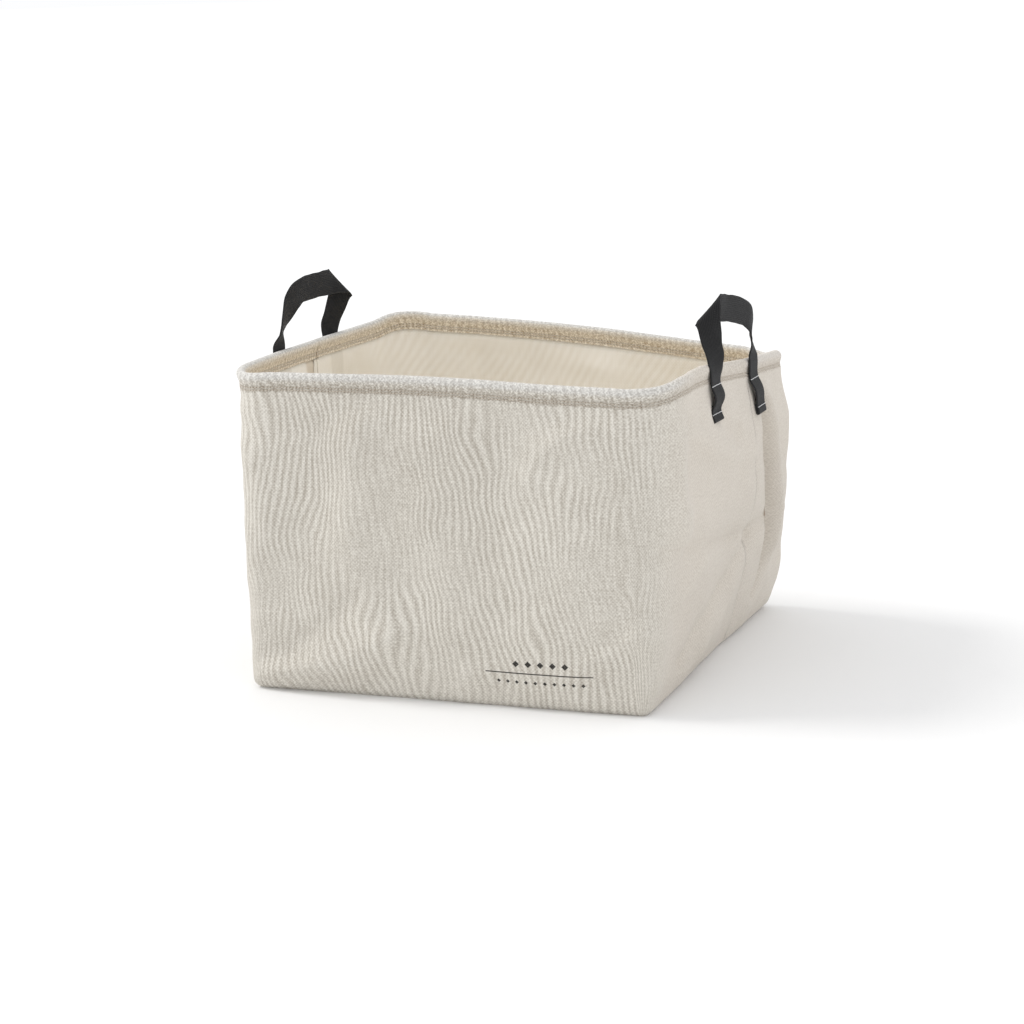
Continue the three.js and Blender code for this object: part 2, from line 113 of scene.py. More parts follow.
def outline(g, v):
    g, v = np.broadcast_arrays(np.asarray(g, float), np.asarray(v, float))
    w = np.mod(g, 8)
    part = np.floor(w).astype(int)
    t = w - part
    out = np.empty(g.shape + (2,))
    for k in range(8):
        m = part == k
        if not m.any():
            continue
        if k % 2 == 0:
            out[m] = side(k // 2, v[m], t[m])[0]
        else:
            one = np.ones(int(m.sum()))
            p0, d0, r = side((k - 1) // 2, v[m], one)
            p3, d3, _ = side((k + 1) // 2, v[m], 0 * one)
            kk = (0.5523 * r)[:, None]
            p1, p2 = p0 + d0 * kk, p3 - d3 * kk
            u, q = (1 - t[m])[:, None], t[m][:, None]
            out[m] = u ** 3 * p0 + 3 * u * u * q * p1 + 3 * u * q * q * p2 + q ** 3 * p3
    return out


def normal(g, v):
    g, v = np.broadcast_arrays(np.asarray(g, float), np.asarray(v, float))
    d = outline(g + 0.004, v) - outline(g - 0.004, v)
    d /= np.hypot(d[..., 0], d[..., 1])[..., None]
    return np.stack([d[..., 1], -d[..., 0]], -1)


RIM_X, RIM_Y = np.array(RIM_HEIGHT, float).T
RIM_STEP, RIM_GRADE = np.diff(RIM_X), np.diff(RIM_Y) / np.diff(RIM_X)
RIM_SLOPE = (np.roll(RIM_GRADE, 1) * RIM_STEP + RIM_GRADE * np.roll(RIM_STEP, 1)) / (RIM_STEP + np.roll(RIM_STEP, 1))
RIM_SLOPE = np.append(RIM_SLOPE, RIM_SLOPE[0])


def rim_height(g):
    w = np.mod(np.asarray(g, float), 8)
    w = np.where(w > 7.5, w - 8, w)
    i = np.clip(np.searchsorted(RIM_X, w) - 1, 0, len(RIM_STEP) - 1)
    d = RIM_STEP[i]
    k = (w - RIM_X[i]) / d
    return RIM_Y[i] + (RIM_Y[i + 1] - RIM_Y[i]) * k * k * (3 - 2 * k) + d * (
        RIM_SLOPE[i] * k * (1 - k) ** 2 - RIM_SLOPE[i + 1] * k * k * (1 - k))


def wall(g, z, n=0.0):
    g, z, n = np.broadcast_arrays(np.asarray(g, float), np.asarray(z, float), np.asarray(n, float))
    v = np.clip(z / rim_height(g), 0, 1)
    foot = np.where(z < FOOT_HEIGHT, FOOT_INSET * (1 - np.maximum(z, 0) / FOOT_HEIGHT) ** 2, 0)
    w = np.mod(g, 8)
    belly = table(BELLY, v) * table(BELLY_AT, np.where(w > 7, w - 8, w))
    p = outline(g, v) + normal(g, v) * (n - foot + belly)[..., None]
    return np.concatenate([p, z[..., None]], -1)


# ------------------------------------------------------------------ how the cloth stands off that shape
def waves(seed, count, shortest, longest):
    """A smooth random field of about 1 RMS, with waves of these lengths in mm."""
    rng = np.random.default_rng(seed)
    d = rng.normal(size=(count, 3))
    d /= np.linalg.norm(d, axis=1)[:, None]
    k = d * (2 * math.pi / np.exp(rng.uniform(math.log(shortest), math.log(longest), count)))[:, None]
    phase = rng.uniform(0, 2 * math.pi, count)
    return lambda p: np.cos(p @ k.T + phase).sum(-1) * math.sqrt(2 / count)


LARGE, MEDIUM, SMALL, HEMW = waves(11, 40, 90, 190), waves(12, 60, 34, 70), waves(13, 80, 13, 26), waves(14, 50, 24, 60)


def near(path, a, b):
    """Distance of the points (a, b) from a polyline, and the side they lie on."""
    best, sign = np.full(a.shape, 1e9), np.ones(a.shape)
    for (x0, y0), (x1, y1) in zip(path, path[1:]):
        dx, dy = x1 - x0, y1 - y0
        t = np.clip(((a - x0) * dx + (b - y0) * dy) / (dx * dx + dy * dy), 0, 1)
        ex, ey = a - x0 - dx * t, b - y0 - dy * t
        d = np.hypot(ex, ey)
        closer = d < best
        best = np.where(closer, d, best)
        sign = np.where(closer, np.sign(dx * ey - dy * ex), sign)
    return best, sign


# soft folds: path on the wall as (x or y, z), how far it stands out, half width, sharp or soft
FRONT_FOLDS = (
    (((-84, 246), (-82, 214), (-87, 168), (-79, 122), (-69, 85), (-62, 57)), 4.6, 24, False),
    (((-118, 258), (-126, 210), (-138, 160), (-155, 95)), -4.2, 34, False),
    (((-190, -4), (-161, 12), (-124, 26), (-93, 36), (-52, 58)), 5.2, 17, False),
    (((-188, 24), (-155, 44), (-118, 66), (-88, 92)), -2.6, 12, False),
    (((58, 240), (53, 200), (52, 160), (46, 104)), -4.0, 30, False),
    (((0, 255), (-8, 190), (-6, 130), (6, 70)), 1.5, 26, False),
    (((162, 269), (124, 253), (96, 236), (84, 214)), 2.4, 11, False),
    (((120, 232), (132, 180), (126, 120), (112, 80)), 1.8, 24, False),
    (((146, 112), (170, 100), (190, 92), (214, 104)), -2.4, 7, True),
    (((150, 86), (172, 76), (196, 84), (220, 96)), 2.0, 9, False),
    (((134, 46), (158, 58), (182, 74), (204, 78)), 2.4, 8, False),
    (((140, 30), (165, 40), (186, 52)), -1.8, 8, False),
    (((-200, 230), (-176, 190), (-170, 150)), 2.0, 16, False),
    (((-204, 150), (-186, 110), (-182, 70)), 1.8, 13, False),
)
RIGHT_FOLDS = (
    (((64, 262), (73, 222), (88, 183), (106, 150), (121, 119), (122, 87), (117, 62), (102, 42)), -3.4, 4.6, True),
    (((84, 250), (96, 210), (112, 176), (128, 150), (142, 119), (142, 84)), 3.6, 15, False),
    (((-172, 146), (-114, 139), (-34, 127), (52, 117), (104, 118)), -2.4, 6, True),
    (((-160, 172), (-100, 170), (-30, 168), (40, 164)), 2.6, 26, False),
    (((-125, 34), (-86, 56), (-36, 74), (12, 95), (58, 116)), -2.2, 6, True),
    (((-60, 34), (-10, 58), (40, 82), (86, 96)), 2.2, 20, False),
    (((-128, 248), (-76, 222), (-15, 203), (30, 200)), 2.2, 12, False),
    (((-60, 254), (-34, 232), (-6, 222)), -2.0, 11, False),
    (((-150, 240), (-150, 190), (-146, 150)), 2.2, 14, False),
    (((-150, 96), (-120, 104), (-92, 118)), 1.7, 10, False),
)
BACK_FOLDS = (
    (((-120, 250), (-100, 190), (-104, 120), (-80, 60)), 3.2, 24, False),
    (((20, 262), (36, 210), (30, 140), (52, 80)), -3.2, 28, False),
    (((120, 246), (96, 190), (110, 130)), 3.0, 22, False),
    (((-170, 60), (-120, 44), (-60, 52)), -2.0, 9, True),
    (((80, 40), (130, 58), (172, 90)), 2.6, 12, False),
)
LEFT_FOLDS = (
    (((-110, 250), (-90, 200), (-96, 140), (-70, 80)), 3.0, 22, False),
    (((40, 240), (58, 180), (44, 110)), -3.0, 24, False),
    (((110, 236), (96, 180), (118, 120)), 2.6, 18, False),
    (((-150, 50), (-96, 38), (-30, 54)), 2.4, 12, False),
    (((-8, 262), (2, 200), (-4, 120), (4, 60)), -2.0, 5, True),
)


def shift(g, z):
    """How far the cloth stands out from the plain shape, in mm, at place g and height z."""
    g, z = np.broadcast_arrays(np.asarray(g, float), np.asarray(z, float))
    h = rim_height(g)
    p = wall(g, z)
    nrm = normal(g, np.clip(z / h, 0, 1))
    x, y = p[..., 0], p[..., 1]
    d = 1.1 * LARGE(p) + 0.42 * MEDIUM(p) + 0.12 * SMALL(p)
    for folds, across, face, strong in (
        (FRONT_FOLDS, x, smooth(0.35, 0.85, -nrm[..., 1]), 1.35),
        (BACK_FOLDS, x, smooth(0.35, 0.85, nrm[..., 1]), 1.3),
        (RIGHT_FOLDS, y, smooth(0.35, 0.85, nrm[..., 0]), 2.1),
        (LEFT_FOLDS, y, smooth(0.35, 0.85, -nrm[..., 0]), 1.3),
    ):
        for path, high, wide, sharp in folds:
            away, _ = near(path, across, z)
            d = d + face * strong * high * ((1 / (1 + (away / wide) ** 2) - 0.06) if sharp else np.exp(-((away / wide) ** 2)))
    # the corners are drawn in between the hoop and the base
    w = np.mod(g, 8)
    for middle, high in ((7.5, -3.4), (1.5, -0.5), (3.5, -2.4), (5.5, -1.0)):
        d = d + high * np.exp(-(((w - middle) / 0.42) ** 2)) * np.exp(-(((z - 185) / 75) ** 2))
    # short puckers hang from the hem and rise from the base seam
    drop = h - z
    d = d + 0.55 * HEMW(p) * np.exp(-(((drop - 34) / 16) ** 2)) + 0.9 * MEDIUM(p + 400) * np.exp(-(((z - 14) / 15) ** 2))
    # the side seams draw the cloth in
    for seam in (SEAM_RIGHT, SEAM_LEFT):
        away = np.abs(w - seam) * 300
        d = d - 1.0 * np.exp(-((away / 1.5) ** 2)) - 0.7 * np.exp(-((away / 9) ** 2))
    keep = smooth(16, 46, drop) * smooth(-12, 26, z)
    roll = 4.6 * (1 - np.clip(z / 7.5, 0, 1)) ** 2
    rim_wave = 0.34 * HEMW(np.stack([x, y, 0 * x + 300], -1))
    return d * keep + rim_wave * (1 - smooth(16, 46, drop)) - roll


def cloth(g, z, n=0.0):
    return wall(g, z, n + shift(g, z))


# ------------------------------------------------------------------ mesh helpers
def build(name, points, faces, uvs=(), index=None, flat=False):
    """points in mm; uvs is (name, array of one uv a point) pairs; index is a material number for each face."""
    me = bpy.data.meshes.new(name)
    me.from_pydata((np.asarray(points, float).reshape(-1, 3) * MM).tolist(), [], np.asarray(faces).tolist())
    corner = np.empty(len(me.loops), np.int32)
    me.loops.foreach_get("vertex_index", corner)
    for uv_name, uv in uvs:
        layer = me.uv_layers.new(name=uv_name)
        layer.data.foreach_set("uv", np.asarray(uv, np.float32).reshape(-1, 2)[corner].ravel())
    if index is not None:
        me.polygons.foreach_set("material_index", np.asarray(index, np.int32))
    me.polygons.foreach_set("use_smooth", np.full(len(me.polygons), not flat))
    me.update()
    ob = bpy.data.objects.new(name, me)
    bpy.context.scene.collection.objects.link(ob)
    return ob


def grid_faces(rows, cols, first=0, close_rows=False, close_cols=False, turn=False):
    r = np.arange(rows if close_rows else rows - 1)
    c = np.arange(cols if close_cols else cols - 1)
    a, b = np.meshgrid(r, c, indexing="ij")
    a1, b1 = (a + 1) % rows, (b + 1) % cols
    f = np.stack([a * cols + b, a1 * cols + b, a1 * cols + b1, a * cols + b1], -1).reshape(-1, 4) + first
    return f[:, ::-1] if turn else f


def finish_mesh(ob, materials, sharp=None):
    for m in materials:
        ob.data.materials.append(m)
    return ob


# ------------------------------------------------------------------ nodes for materials
class Graph:
    def __init__(self, name):
        self.m = bpy.data.materials.new(name)
        self.m.use_nodes = True
        self.t = self.m.node_tree
        self.t.nodes.clear()
        self.out = self.t.nodes.new("ShaderNodeOutputMaterial")
        self.p = self.t.nodes.new("ShaderNodeBsdfPrincipled")
        self.t.links.new(self.p.outputs[0], self.out.inputs[0])

    def put(self, socket, x):
        if isinstance(x, bpy.types.NodeSocket):
            self.t.links.new(x, socket)
        else:
            socket.default_value = x

    def math(self, op, a, b=None, c=None, clamp=False):
        n = self.t.nodes.new("ShaderNodeMath")
        n.operation, n.use_clamp = op, clamp
        for i, x in enumerate((a, b, c)):
            if x is not None:
                self.put(n.inputs[i], x)
        return n.outputs[0]

    def add(self, *xs):
        out = xs[0]
        for x in xs[1:]:
            out = self.math("ADD", out, x)
        return out

    def mul(self, *xs):
        out = xs[0]
        for x in xs[1:]:
            out = self.math("MULTIPLY", out, x)
        return out

    def uv(self, name):
        n = self.t.nodes.new("ShaderNodeUVMap")
        n.uv_map = name
        s = self.t.nodes.new("ShaderNodeSeparateXYZ")
        self.t.links.new(n.outputs[0], s.inputs[0])
        return s.outputs[0], s.outputs[1]

    def vec(self, x, y, z=0.0):
        n = self.t.nodes.new("ShaderNodeCombineXYZ")
        for i, a in enumerate((x, y, z)):
            self.put(n.inputs[i], a)
        return n.outputs[0]

    def noise(self, v, scale, detail=2.0, rough=0.5, distortion=0.0):
        n = self.t.nodes.new("ShaderNodeTexNoise")
        n.inputs["Scale"].default_value = scale
        n.inputs["Detail"].default_value = detail
        n.inputs["Roughness"].default_value = rough
        n.inputs["Distortion"].default_value = distortion
        self.t.links.new(v, n.inputs["Vector"])
        return n.outputs[0]

    def sine(self, x, period, shift=0.0):
        return self.math("SINE", self.math("MULTIPLY_ADD", x, 2 * math.pi / period, shift))

    def bell(self, x, middle, wide):
        """1 at the middle, falling off over wide."""
        d = self.math("DIVIDE", self.math("SUBTRACT", x, middle), wide)
        return self.math("EXPONENT", self.math("MULTIPLY", self.math("MULTIPLY", d, d), -1.0))

    def ramp(self, x, low, high, a=0.0, b=1.0):
        n = self.t.nodes.new("ShaderNodeMapRange")
        n.interpolation_type = "SMOOTHSTEP"
        self.put(n.inputs["Value"], x)
        n.inputs["From Min"].default_value, n.inputs["From Max"].default_value = low, high
        n.inputs["To Min"].default_value, n.inputs["To Max"].default_value = a, b
        return n.outputs[0]

    def mix(self, k, a, b):
        n = self.t.nodes.new("ShaderNodeMix")
        n.data_type = "RGBA"
        self.put(n.inputs[0], k)
        for i, x in ((6, a), (7, b)):
            self.put(n.inputs[i], x)
        return n.outputs[2]

    def shade(self, k, colour):
        """The colour times k."""
        n = self.t.nodes.new("ShaderNodeMix")
        n.data_type, n.blend_type = "RGBA", "MULTIPLY"
        n.inputs[0].default_value = 1.0
        self.put(n.inputs[6], colour)
        s = self.t.nodes.new("ShaderNodeCombineColor")
        for i in range(3):
            self.put(s.inputs[i], k)
        self.t.links.new(s.outputs[0], n.inputs[7])
        return n.outputs[2]

    def bump(self, height, distance, strength=1.0):
        n = self.t.nodes.new("ShaderNodeBump")
        n.inputs["Strength"].default_value = strength
        n.inputs["Distance"].default_value = distance
        self.t.links.new(height, n.inputs["Height"])
        self.t.links.new(n.outputs[0], self.p.inputs["Normal"])

    def set(self, **values):
        for k, x in values.items():
            self.put(self.p.inputs[k.replace("_", " ")], x)
        return self.m


def rgb(r, g, b):
    return tuple((c / 255 / 12.92 if c <= 10 else ((c / 255 + 0.055) / 1.055) ** 2.4) for c in (r, g, b)) + (1.0,)


def weave(q, u, v, pitch, warp=0.0016, slub=0.44):
    """Plain weave: a height from 0 to 1, with yarns of uneven thickness."""
    n1 = q.noise(q.vec(u, v), 14.0, 2.0)
    n2 = q.noise(q.vec(v, u, 3.0), 16.0, 2.0)
    uu = q.math("MULTIPLY_ADD", q.math("SUBTRACT", n1, 0.5), warp * 2, u)
    vv = q.math("MULTIPLY_ADD", q.math("SUBTRACT", n2, 0.5), warp * 2, v)
    slub_u = q.noise(q.vec(q.mul(uu, 620.0), q.mul(vv, 45.0)), 1.0, 1.0)
    slub_v = q.noise(q.vec(q.mul(uu, 45.0), q.mul(vv, 620.0), 7.0), 1.0, 1.0)
    cross = q.mul(q.sine(uu, pitch * 2), q.sine(vv, pitch * 2))
    fine = q.noise(q.vec(u, v, 1.0), 1500.0, 2.0, 0.6)
    height = q.add(q.mul(cross, 0.13), q.mul(slub_u, slub), q.mul(slub_v, 0.24), q.mul(fine, 0.34))
    return height, fine, uu, vv


TAILS = []  # place along the cloth of each sewn strap end, in metres, filled in below
SEAM_PLACES = []  # and of the side seam in the left wall
CREASE = []  # place along the cloth of the right wall's crease, a cubic in the height, in metres


def canvas_outer():
    q = Graph("canvas_outer")
    u, v = q.uv("cloth")
    hu, drop = q.uv("hem")
    side = q.add(q.ramp(u, 0.19, 0.26), q.ramp(u, -0.99, -0.94, 1.0, 0.0))  # the right wall is smoother
    height, fine, uu, vv = weave(q, u, v, 0.00165, slub=q.math("MULTIPLY_ADD", side, -0.30, 0.44))
    # long wavy streaks down the cloth, where the yarns crowd and part
    far = q.noise(q.vec(u, q.mul(v, 0.75)), 7.5, 2.5, 0.55)
    phase = q.math("MULTIPLY_ADD", far, 0.084, q.math("MULTIPLY_ADD", v, 0.10, u))
    streak = q.mul(q.sine(phase, 0.0068), q.ramp(u, 0.165, 0.225, 1.0, 0.0), q.ramp(u, -0.99, -0.94, 0.0, 1.0))
    patch = q.ramp(q.noise(q.vec(u, v, 5.0), 10.0, 2.0), 0.24, 0.60)
    broad = q.noise(q.vec(q.mul(u, 1.5), v, 9.0), 5.5, 3.0)
    on_hem = q.ramp(drop, 0.0172, 0.0192, 1.0, 0.0)
    inner_hem = q.ramp(drop, -0.0035, -0.0010, 1.0, 0.0)
    speck = q.ramp(q.noise(q.vec(u, v, 2.0), 480.0, 2.5, 0.7), 0.36, 0.70)
    knob = q.ramp(q.noise(q.vec(u, v, 6.0), 300.0, 2.0, 0.6), 0.50, 0.66)
    tone = q.add(
        0.56,
        q.mul(q.math("SUBTRACT", height, 0.5), 0.85),
        q.mul(streak, patch, 0.15),
        q.mul(side, 0.20),
        q.mul(q.math("SUBTRACT", broad, 0.5), 0.35),
        q.mul(q.math("SUBTRACT", speck, 0.5), q.math("MULTIPLY_ADD", on_hem, 0.40, 0.26)),
    )
    colour = q.mix(q.ramp(tone, 0.0, 1.0), rgb(160, 152, 140), rgb(226, 222, 213))
    colour = q.mix(q.mul(on_hem, knob, 0.30), colour, rgb(141, 128, 112))
    warm = q.mix(q.ramp(tone, 0.1, 1.0), rgb(197, 180, 152), rgb(244, 233, 214))
    colour = q.mix(q.mul(inner_hem, 0.85), colour, warm)
    colour = q.mix(q.mul(inner_hem, knob, 0.42), colour, rgb(150, 124, 92))
    for place in SEAM_PLACES:
        colour = q.mix(q.mul(inner_hem, q.bell(u, place, 0.0009), 0.6), colour, rgb(120, 92, 56))
    # painted highlight: a pale bluish sheen along the top of the rim tube, weaker on the right wall
    colour = q.mix(q.mul(on_hem, q.ramp(q.math("ABSOLUTE", drop), 0.003, 0.010, 0.26, 0.0), q.ramp(u, 0.19, 0.27, 1.0, 0.15)), colour, rgb(230, 234, 239))
    # the hem hangs a little in its own shade
    colour = q.mix(q.mul(q.ramp(drop, 0.008, 0.012), q.ramp(drop, 0.0165, 0.0185, 1.0, 0.0), 0.26), colour, rgb(150, 141, 128))
    colour = q.mix(q.mul(side, 0.38), colour, rgb(208, 196, 183))
    # a hard crease down the right wall, with painted shade along its fold and a band of painted shade beside it
    z2 = q.mul(v, v)
    bend = q.math("MULTIPLY_ADD", v, CREASE[1], q.math("MULTIPLY_ADD", z2, CREASE[2], q.math("MULTIPLY_ADD", q.mul(z2, v), CREASE[3], CREASE[0])))
    off = q.math("SUBTRACT", q.math("MULTIPLY_ADD", q.math("SUBTRACT", q.noise(q.vec(u, v, 12.0), 90.0, 2.0), 0.5), 0.004, u), bend)
    # painted shade: a thin brownish dark line down the fold of the crease
    crease_fold_shade = q.mul(q.bell(off, -0.006, 0.0026), q.ramp(v, 0.075, 0.105), q.ramp(v, 0.165, 0.205, 1.0, 0.0), q.ramp(q.noise(q.vec(u, v, 15.0), 160.0, 2.0), 0.25, 0.55))
    # painted shade on the cloth just beside the crease, where the fold overhangs
    under = q.mul(q.ramp(off, -0.001, 0.001), q.ramp(off, 0.004, 0.034, 1.0, 0.0), q.ramp(v, 0.05, 0.09), q.ramp(v, 0.235, 0.265, 1.0, 0.0))
    colour = q.mix(q.mul(under, 0.16), colour, rgb(150, 139, 124))
    colour = q.mix(q.mul(crease_fold_shade, 0.85), colour, rgb(122, 97, 68))
    # stitched lines press a groove, and painted shade darkens the cloth along each row
    dash = q.math("MULTIPLY_ADD", q.sine(hu, 0.0033), 0.22, 0.62)
    groove = None
    for row in STITCH_ROWS:
        for sign in (1, -1):
            b = q.bell(drop, sign * row * MM, 0.0007)
            groove = b if groove is None else q.math("ADD", groove, b, clamp=True)
    colour = q.mix(q.mul(groove, dash, 0.78), colour, rgb(112, 92, 70))
    # plain printed ornament low on the front: a thin rule between two rows of small lozenges
    def inside(x, a, b, soft=0.00025):
        return q.mul(q.ramp(x, a - soft, a + soft), q.ramp(x, b - soft, b + soft, 1.0, 0.0))

    def lozenges(middle, height_, first, last, period, size):
        cell = q.math("SUBTRACT", q.math("FRACT", q.math("DIVIDE", q.math("SUBTRACT", u, first), period)), 0.5)
        dx = q.mul(q.math("ABSOLUTE", cell), period)
        dy = q.mul(q.math("ABSOLUTE", q.math("SUBTRACT", v, middle)), size / height_)
        return q.mul(q.ramp(q.math("ADD", dx, dy), size - 0.0003, size + 0.0003, 1.0, 0.0), inside(u, first, last))

    rule = q.mul(inside(u, 0.037, 0.131), inside(v, 0.0350, 0.0361))
    upper = lozenges(0.0442, 0.0030, 0.0590, 0.1130, 0.0108, 0.0030)
    lower = lozenges(0.0272, 0.0018, 0.0440, 0.1260, 0.0082, 0.0018)
    ink = q.mul(q.math("MAXIMUM", rule, q.math("MAXIMUM", upper, lower)), q.ramp(height, 0.25, 0.6, 0.84, 0.98))
    colour = q.mix(ink, colour, rgb(34, 32, 31))
    q.bump(q.add(q.mul(height, q.math("MULTIPLY_ADD", on_hem, 0.5, 1.0)), q.mul(groove, -0.9), q.mul(streak, patch, 0.10)), 0.00036, 0.55)
    return q.set(Base_Color=colour, Roughness=0.92, Specular_IOR_Level=0.22, Sheen_Weight=0.12, Sheen_Roughness=0.55)




def canvas_inner():
    q = Graph("canvas_inner")
    u, v = q.uv("cloth")
    hu, drop = q.uv("hem")
    height, fine, uu, vv = weave(q, u, v, 0.00165, 0.0010)
    far = q.noise(q.vec(u, v, 4.0), 5.0, 2.0)
    streak = q.sine(q.math("MULTIPLY_ADD", far, 0.05, q.math("MULTIPLY_ADD", v, 0.75, u)), 0.0105)
    patch = q.ramp(q.noise(q.vec(u, v, 8.0), 9.0, 2.0), 0.35, 0.65)
    broad = q.noise(q.vec(u, q.mul(v, 1.6), 9.0), 6.0, 3.0)
    tone = q.add(0.55, q.mul(q.math("SUBTRACT", height, 0.5), 0.55), q.mul(streak, patch, 0.12), q.mul(q.math("SUBTRACT", broad, 0.5), 0.5))
    colour = q.mix(q.ramp(tone, 0.0, 1.0), rgb(226, 217, 200), rgb(251, 247, 239))
    # painted shadow: the sewn straps outside keep the light from coming through the cloth, shown as darker bands
    behind = None
    for place, strength in TAILS:
        band = q.mul(
            q.ramp(q.math("ABSOLUTE", q.math("SUBTRACT", u, place)), 0.0112, 0.0140, 1.0, 0.0),
            q.ramp(drop, 0.0505, 0.0535, 1.0, 0.0),
            strength,
        )
        behind = band if behind is None else q.math("ADD", behind, band)
    colour = q.mix(behind, colour, rgb(163, 150, 126))
    for place in SEAM_PLACES:
        away = q.math("SUBTRACT", u, place)
        colour = q.mix(q.mul(q.bell(away, 0.0, 0.0008), 0.55), colour, rgb(126, 100, 66))
        shade = q.mul(q.ramp(away, 0.0, 0.001), q.ramp(away, 0.020, 0.026, 1.0, 0.0), q.ramp(drop, 0.045, 0.075, 1.0, 0.0))
        colour = q.mix(q.mul(shade, 0.42), colour, rgb(176, 150, 112))
    q.bump(height, 0.00022, 0.35)
    return q.set(Base_Color=colour, Roughness=0.62, Specular_IOR_Level=0.35, Sheen_Weight=0.04)


def webbing():
    q = Graph("webbing")
    u, v = q.uv("strap")
    n1 = q.noise(q.vec(u, v), 60.0, 2.0)
    uu = q.math("MULTIPLY_ADD", q.math("SUBTRACT", n1, 0.5), 0.0006, u)
    rib = q.math("ABSOLUTE", q.sine(uu, 0.0034))
    pick = q.math("ABSOLUTE", q.sine(q.math("MULTIPLY_ADD", q.sine(uu, 0.0068), 0.00035, v), 0.0023))
    fuzz = q.noise(q.vec(u, v, 2.0), 760.0, 3.0, 0.7)
    height = q.add(q.mul(rib, 0.35), q.mul(pick, 0.45), q.mul(fuzz, 0.45))
    edge = q.ramp(q.math("ABSOLUTE", u), 0.0105, 0.0122)
    wear = q.ramp(q.noise(q.vec(u, v, 5.0), 45.0, 4.0, 0.6), 0.42, 0.80)
    tone = q.add(q.mul(q.math("SUBTRACT", height, 0.50), 1.7), q.mul(wear, 0.30), q.mul(edge, 0.20))
    colour = q.mix(q.ramp(tone, -0.1, 1.0), rgb(5, 5, 6), rgb(46, 46, 47))
    q.bump(height, 0.00045, 0.7)
    return q.set(Base_Color=colour, Roughness=0.80, Specular_IOR_Level=0.25, Sheen_Weight=0.06, Sheen_Roughness=0.45)


def thread(name, low, high):
    q = Graph(name)
    u, v = q.uv("thread")
    twist = q.sine(q.math("MULTIPLY_ADD", u, 0.8, v), 0.0007)
    fuzz = q.noise(q.vec(u, v), 2600.0, 2.0)
    colour = q.mix(q.add(q.mul(twist, 0.35), q.mul(fuzz, 0.6), 0.2), low, high)
    q.bump(q.add(q.mul(twist, 0.5), q.mul(fuzz, 0.3)), 0.00008, 0.6)
    return q.set(Base_Color=colour, Roughness=0.7, Specular_IOR_Level=0.4, Sheen_Weight=0.2)


def steel():
    q = Graph("hoop_steel")
    tc = q.t.nodes.new("ShaderNodeTexCoord")
    n = q.noise(tc.outputs["Object"], 320.0, 3.0)
    colour = q.mix(n, rgb(120, 122, 125), rgb(178, 180, 182))
    q.bump(n, 0.00006, 0.5)
    return q.set(Base_Color=colour, Metallic=1.0, Roughness=q.ramp(n, 0.3, 0.7, 0.28, 0.45))


# ------------------------------------------------------------------ walls
G_FINE = np.linspace(0, 16, 16 * 260 + 1)
P_FINE = outline(G_FINE, 0.75)
S_FINE = np.concatenate([[0], np.cumsum(np.hypot(*np.diff(P_FINE, axis=0).T))])
# distance along the cloth is counted from the middle of the front
FRONT_ZERO = float(np.interp(0.0, *(lambda a, b: (b[np.argsort(b)], a[np.argsort(b)]))(
    np.linspace(6.2, 6.8, 200), outline(np.linspace(6.2, 6.8, 200), 0.12)[:, 0])))


def along(g):
    return np.interp(g, G_FINE, S_FINE) - np.interp(FRONT_ZERO, G_FINE, S_FINE)


def spaced(g0, g1, step):
    s0, s1 = np.interp([g0, g1], G_FINE, S_FINE)
    return np.interp(np.linspace(s0, s1, int(round((s1 - s0) / step)) + 1), S_FINE, G_FINE)


# outer face of the cloth round the hoop, as (standing out, drop under the top of the rim)
HEM_LINE = np.array([
    (0.0, 27), (0.06, 24), (0.35, 21), (0.72, 18.8), (0.92, 17.3), (0.66, 15.8), (0.92, 14.6), (0.66, 13.4),
    (1.02, 12.0), (1.35, 10.5), (1.95, 8.7), (2.75, 6.8), (3.25, 5.0), (3.3, 3.5), (2.9, 2.1), (2.0, 0.95),
    (0.7, 0.22), (-0.8, 0.0), (-2.3, 0.22), (-3.6, 0.95), (-4.5, 2.1), (-4.9, 3.5), (-4.85, 5.0), (-4.3, 6.8),
    (-3.6, 8.7), (-3.15, 10.5), (-3.0, 12.0), (-2.78, 13.4), (-3.0, 14.6), (-2.78, 15.8), (-3.0, 17.2), (-3.05, 18.9)])


def curve(points, step):
    """Catmull-Rom through the points, evenly spaced."""
    p = np.asarray(points, float)
    ext = np.vstack([2 * p[0] - p[1], p, 2 * p[-1] - p[-2]])
    out = []
    for i in range(1, len(ext) - 2):
        a, b, c, d = ext[i - 1:i + 3]
        for t in np.linspace(0, 1, 16, endpoint=False):
            out.append(0.5 * (2 * b + (c - a) * t + (2 * a - 5 * b + 4 * c - d) * t * t + (3 * b - a - 3 * c + d) * t ** 3))
    out = np.array(out + [p[-1]])
    s = np.concatenate([[0], np.cumsum(np.linalg.norm(np.diff(out, axis=0), axis=1))])
    q = np.linspace(0, s[-1], int(round(s[-1] / step)) + 1)
    return np.stack([np.interp(q, s, out[:, k]) for k in range(out.shape[1])], -1)


HEM_ROWS = curve(HEM_LINE, 1.05)


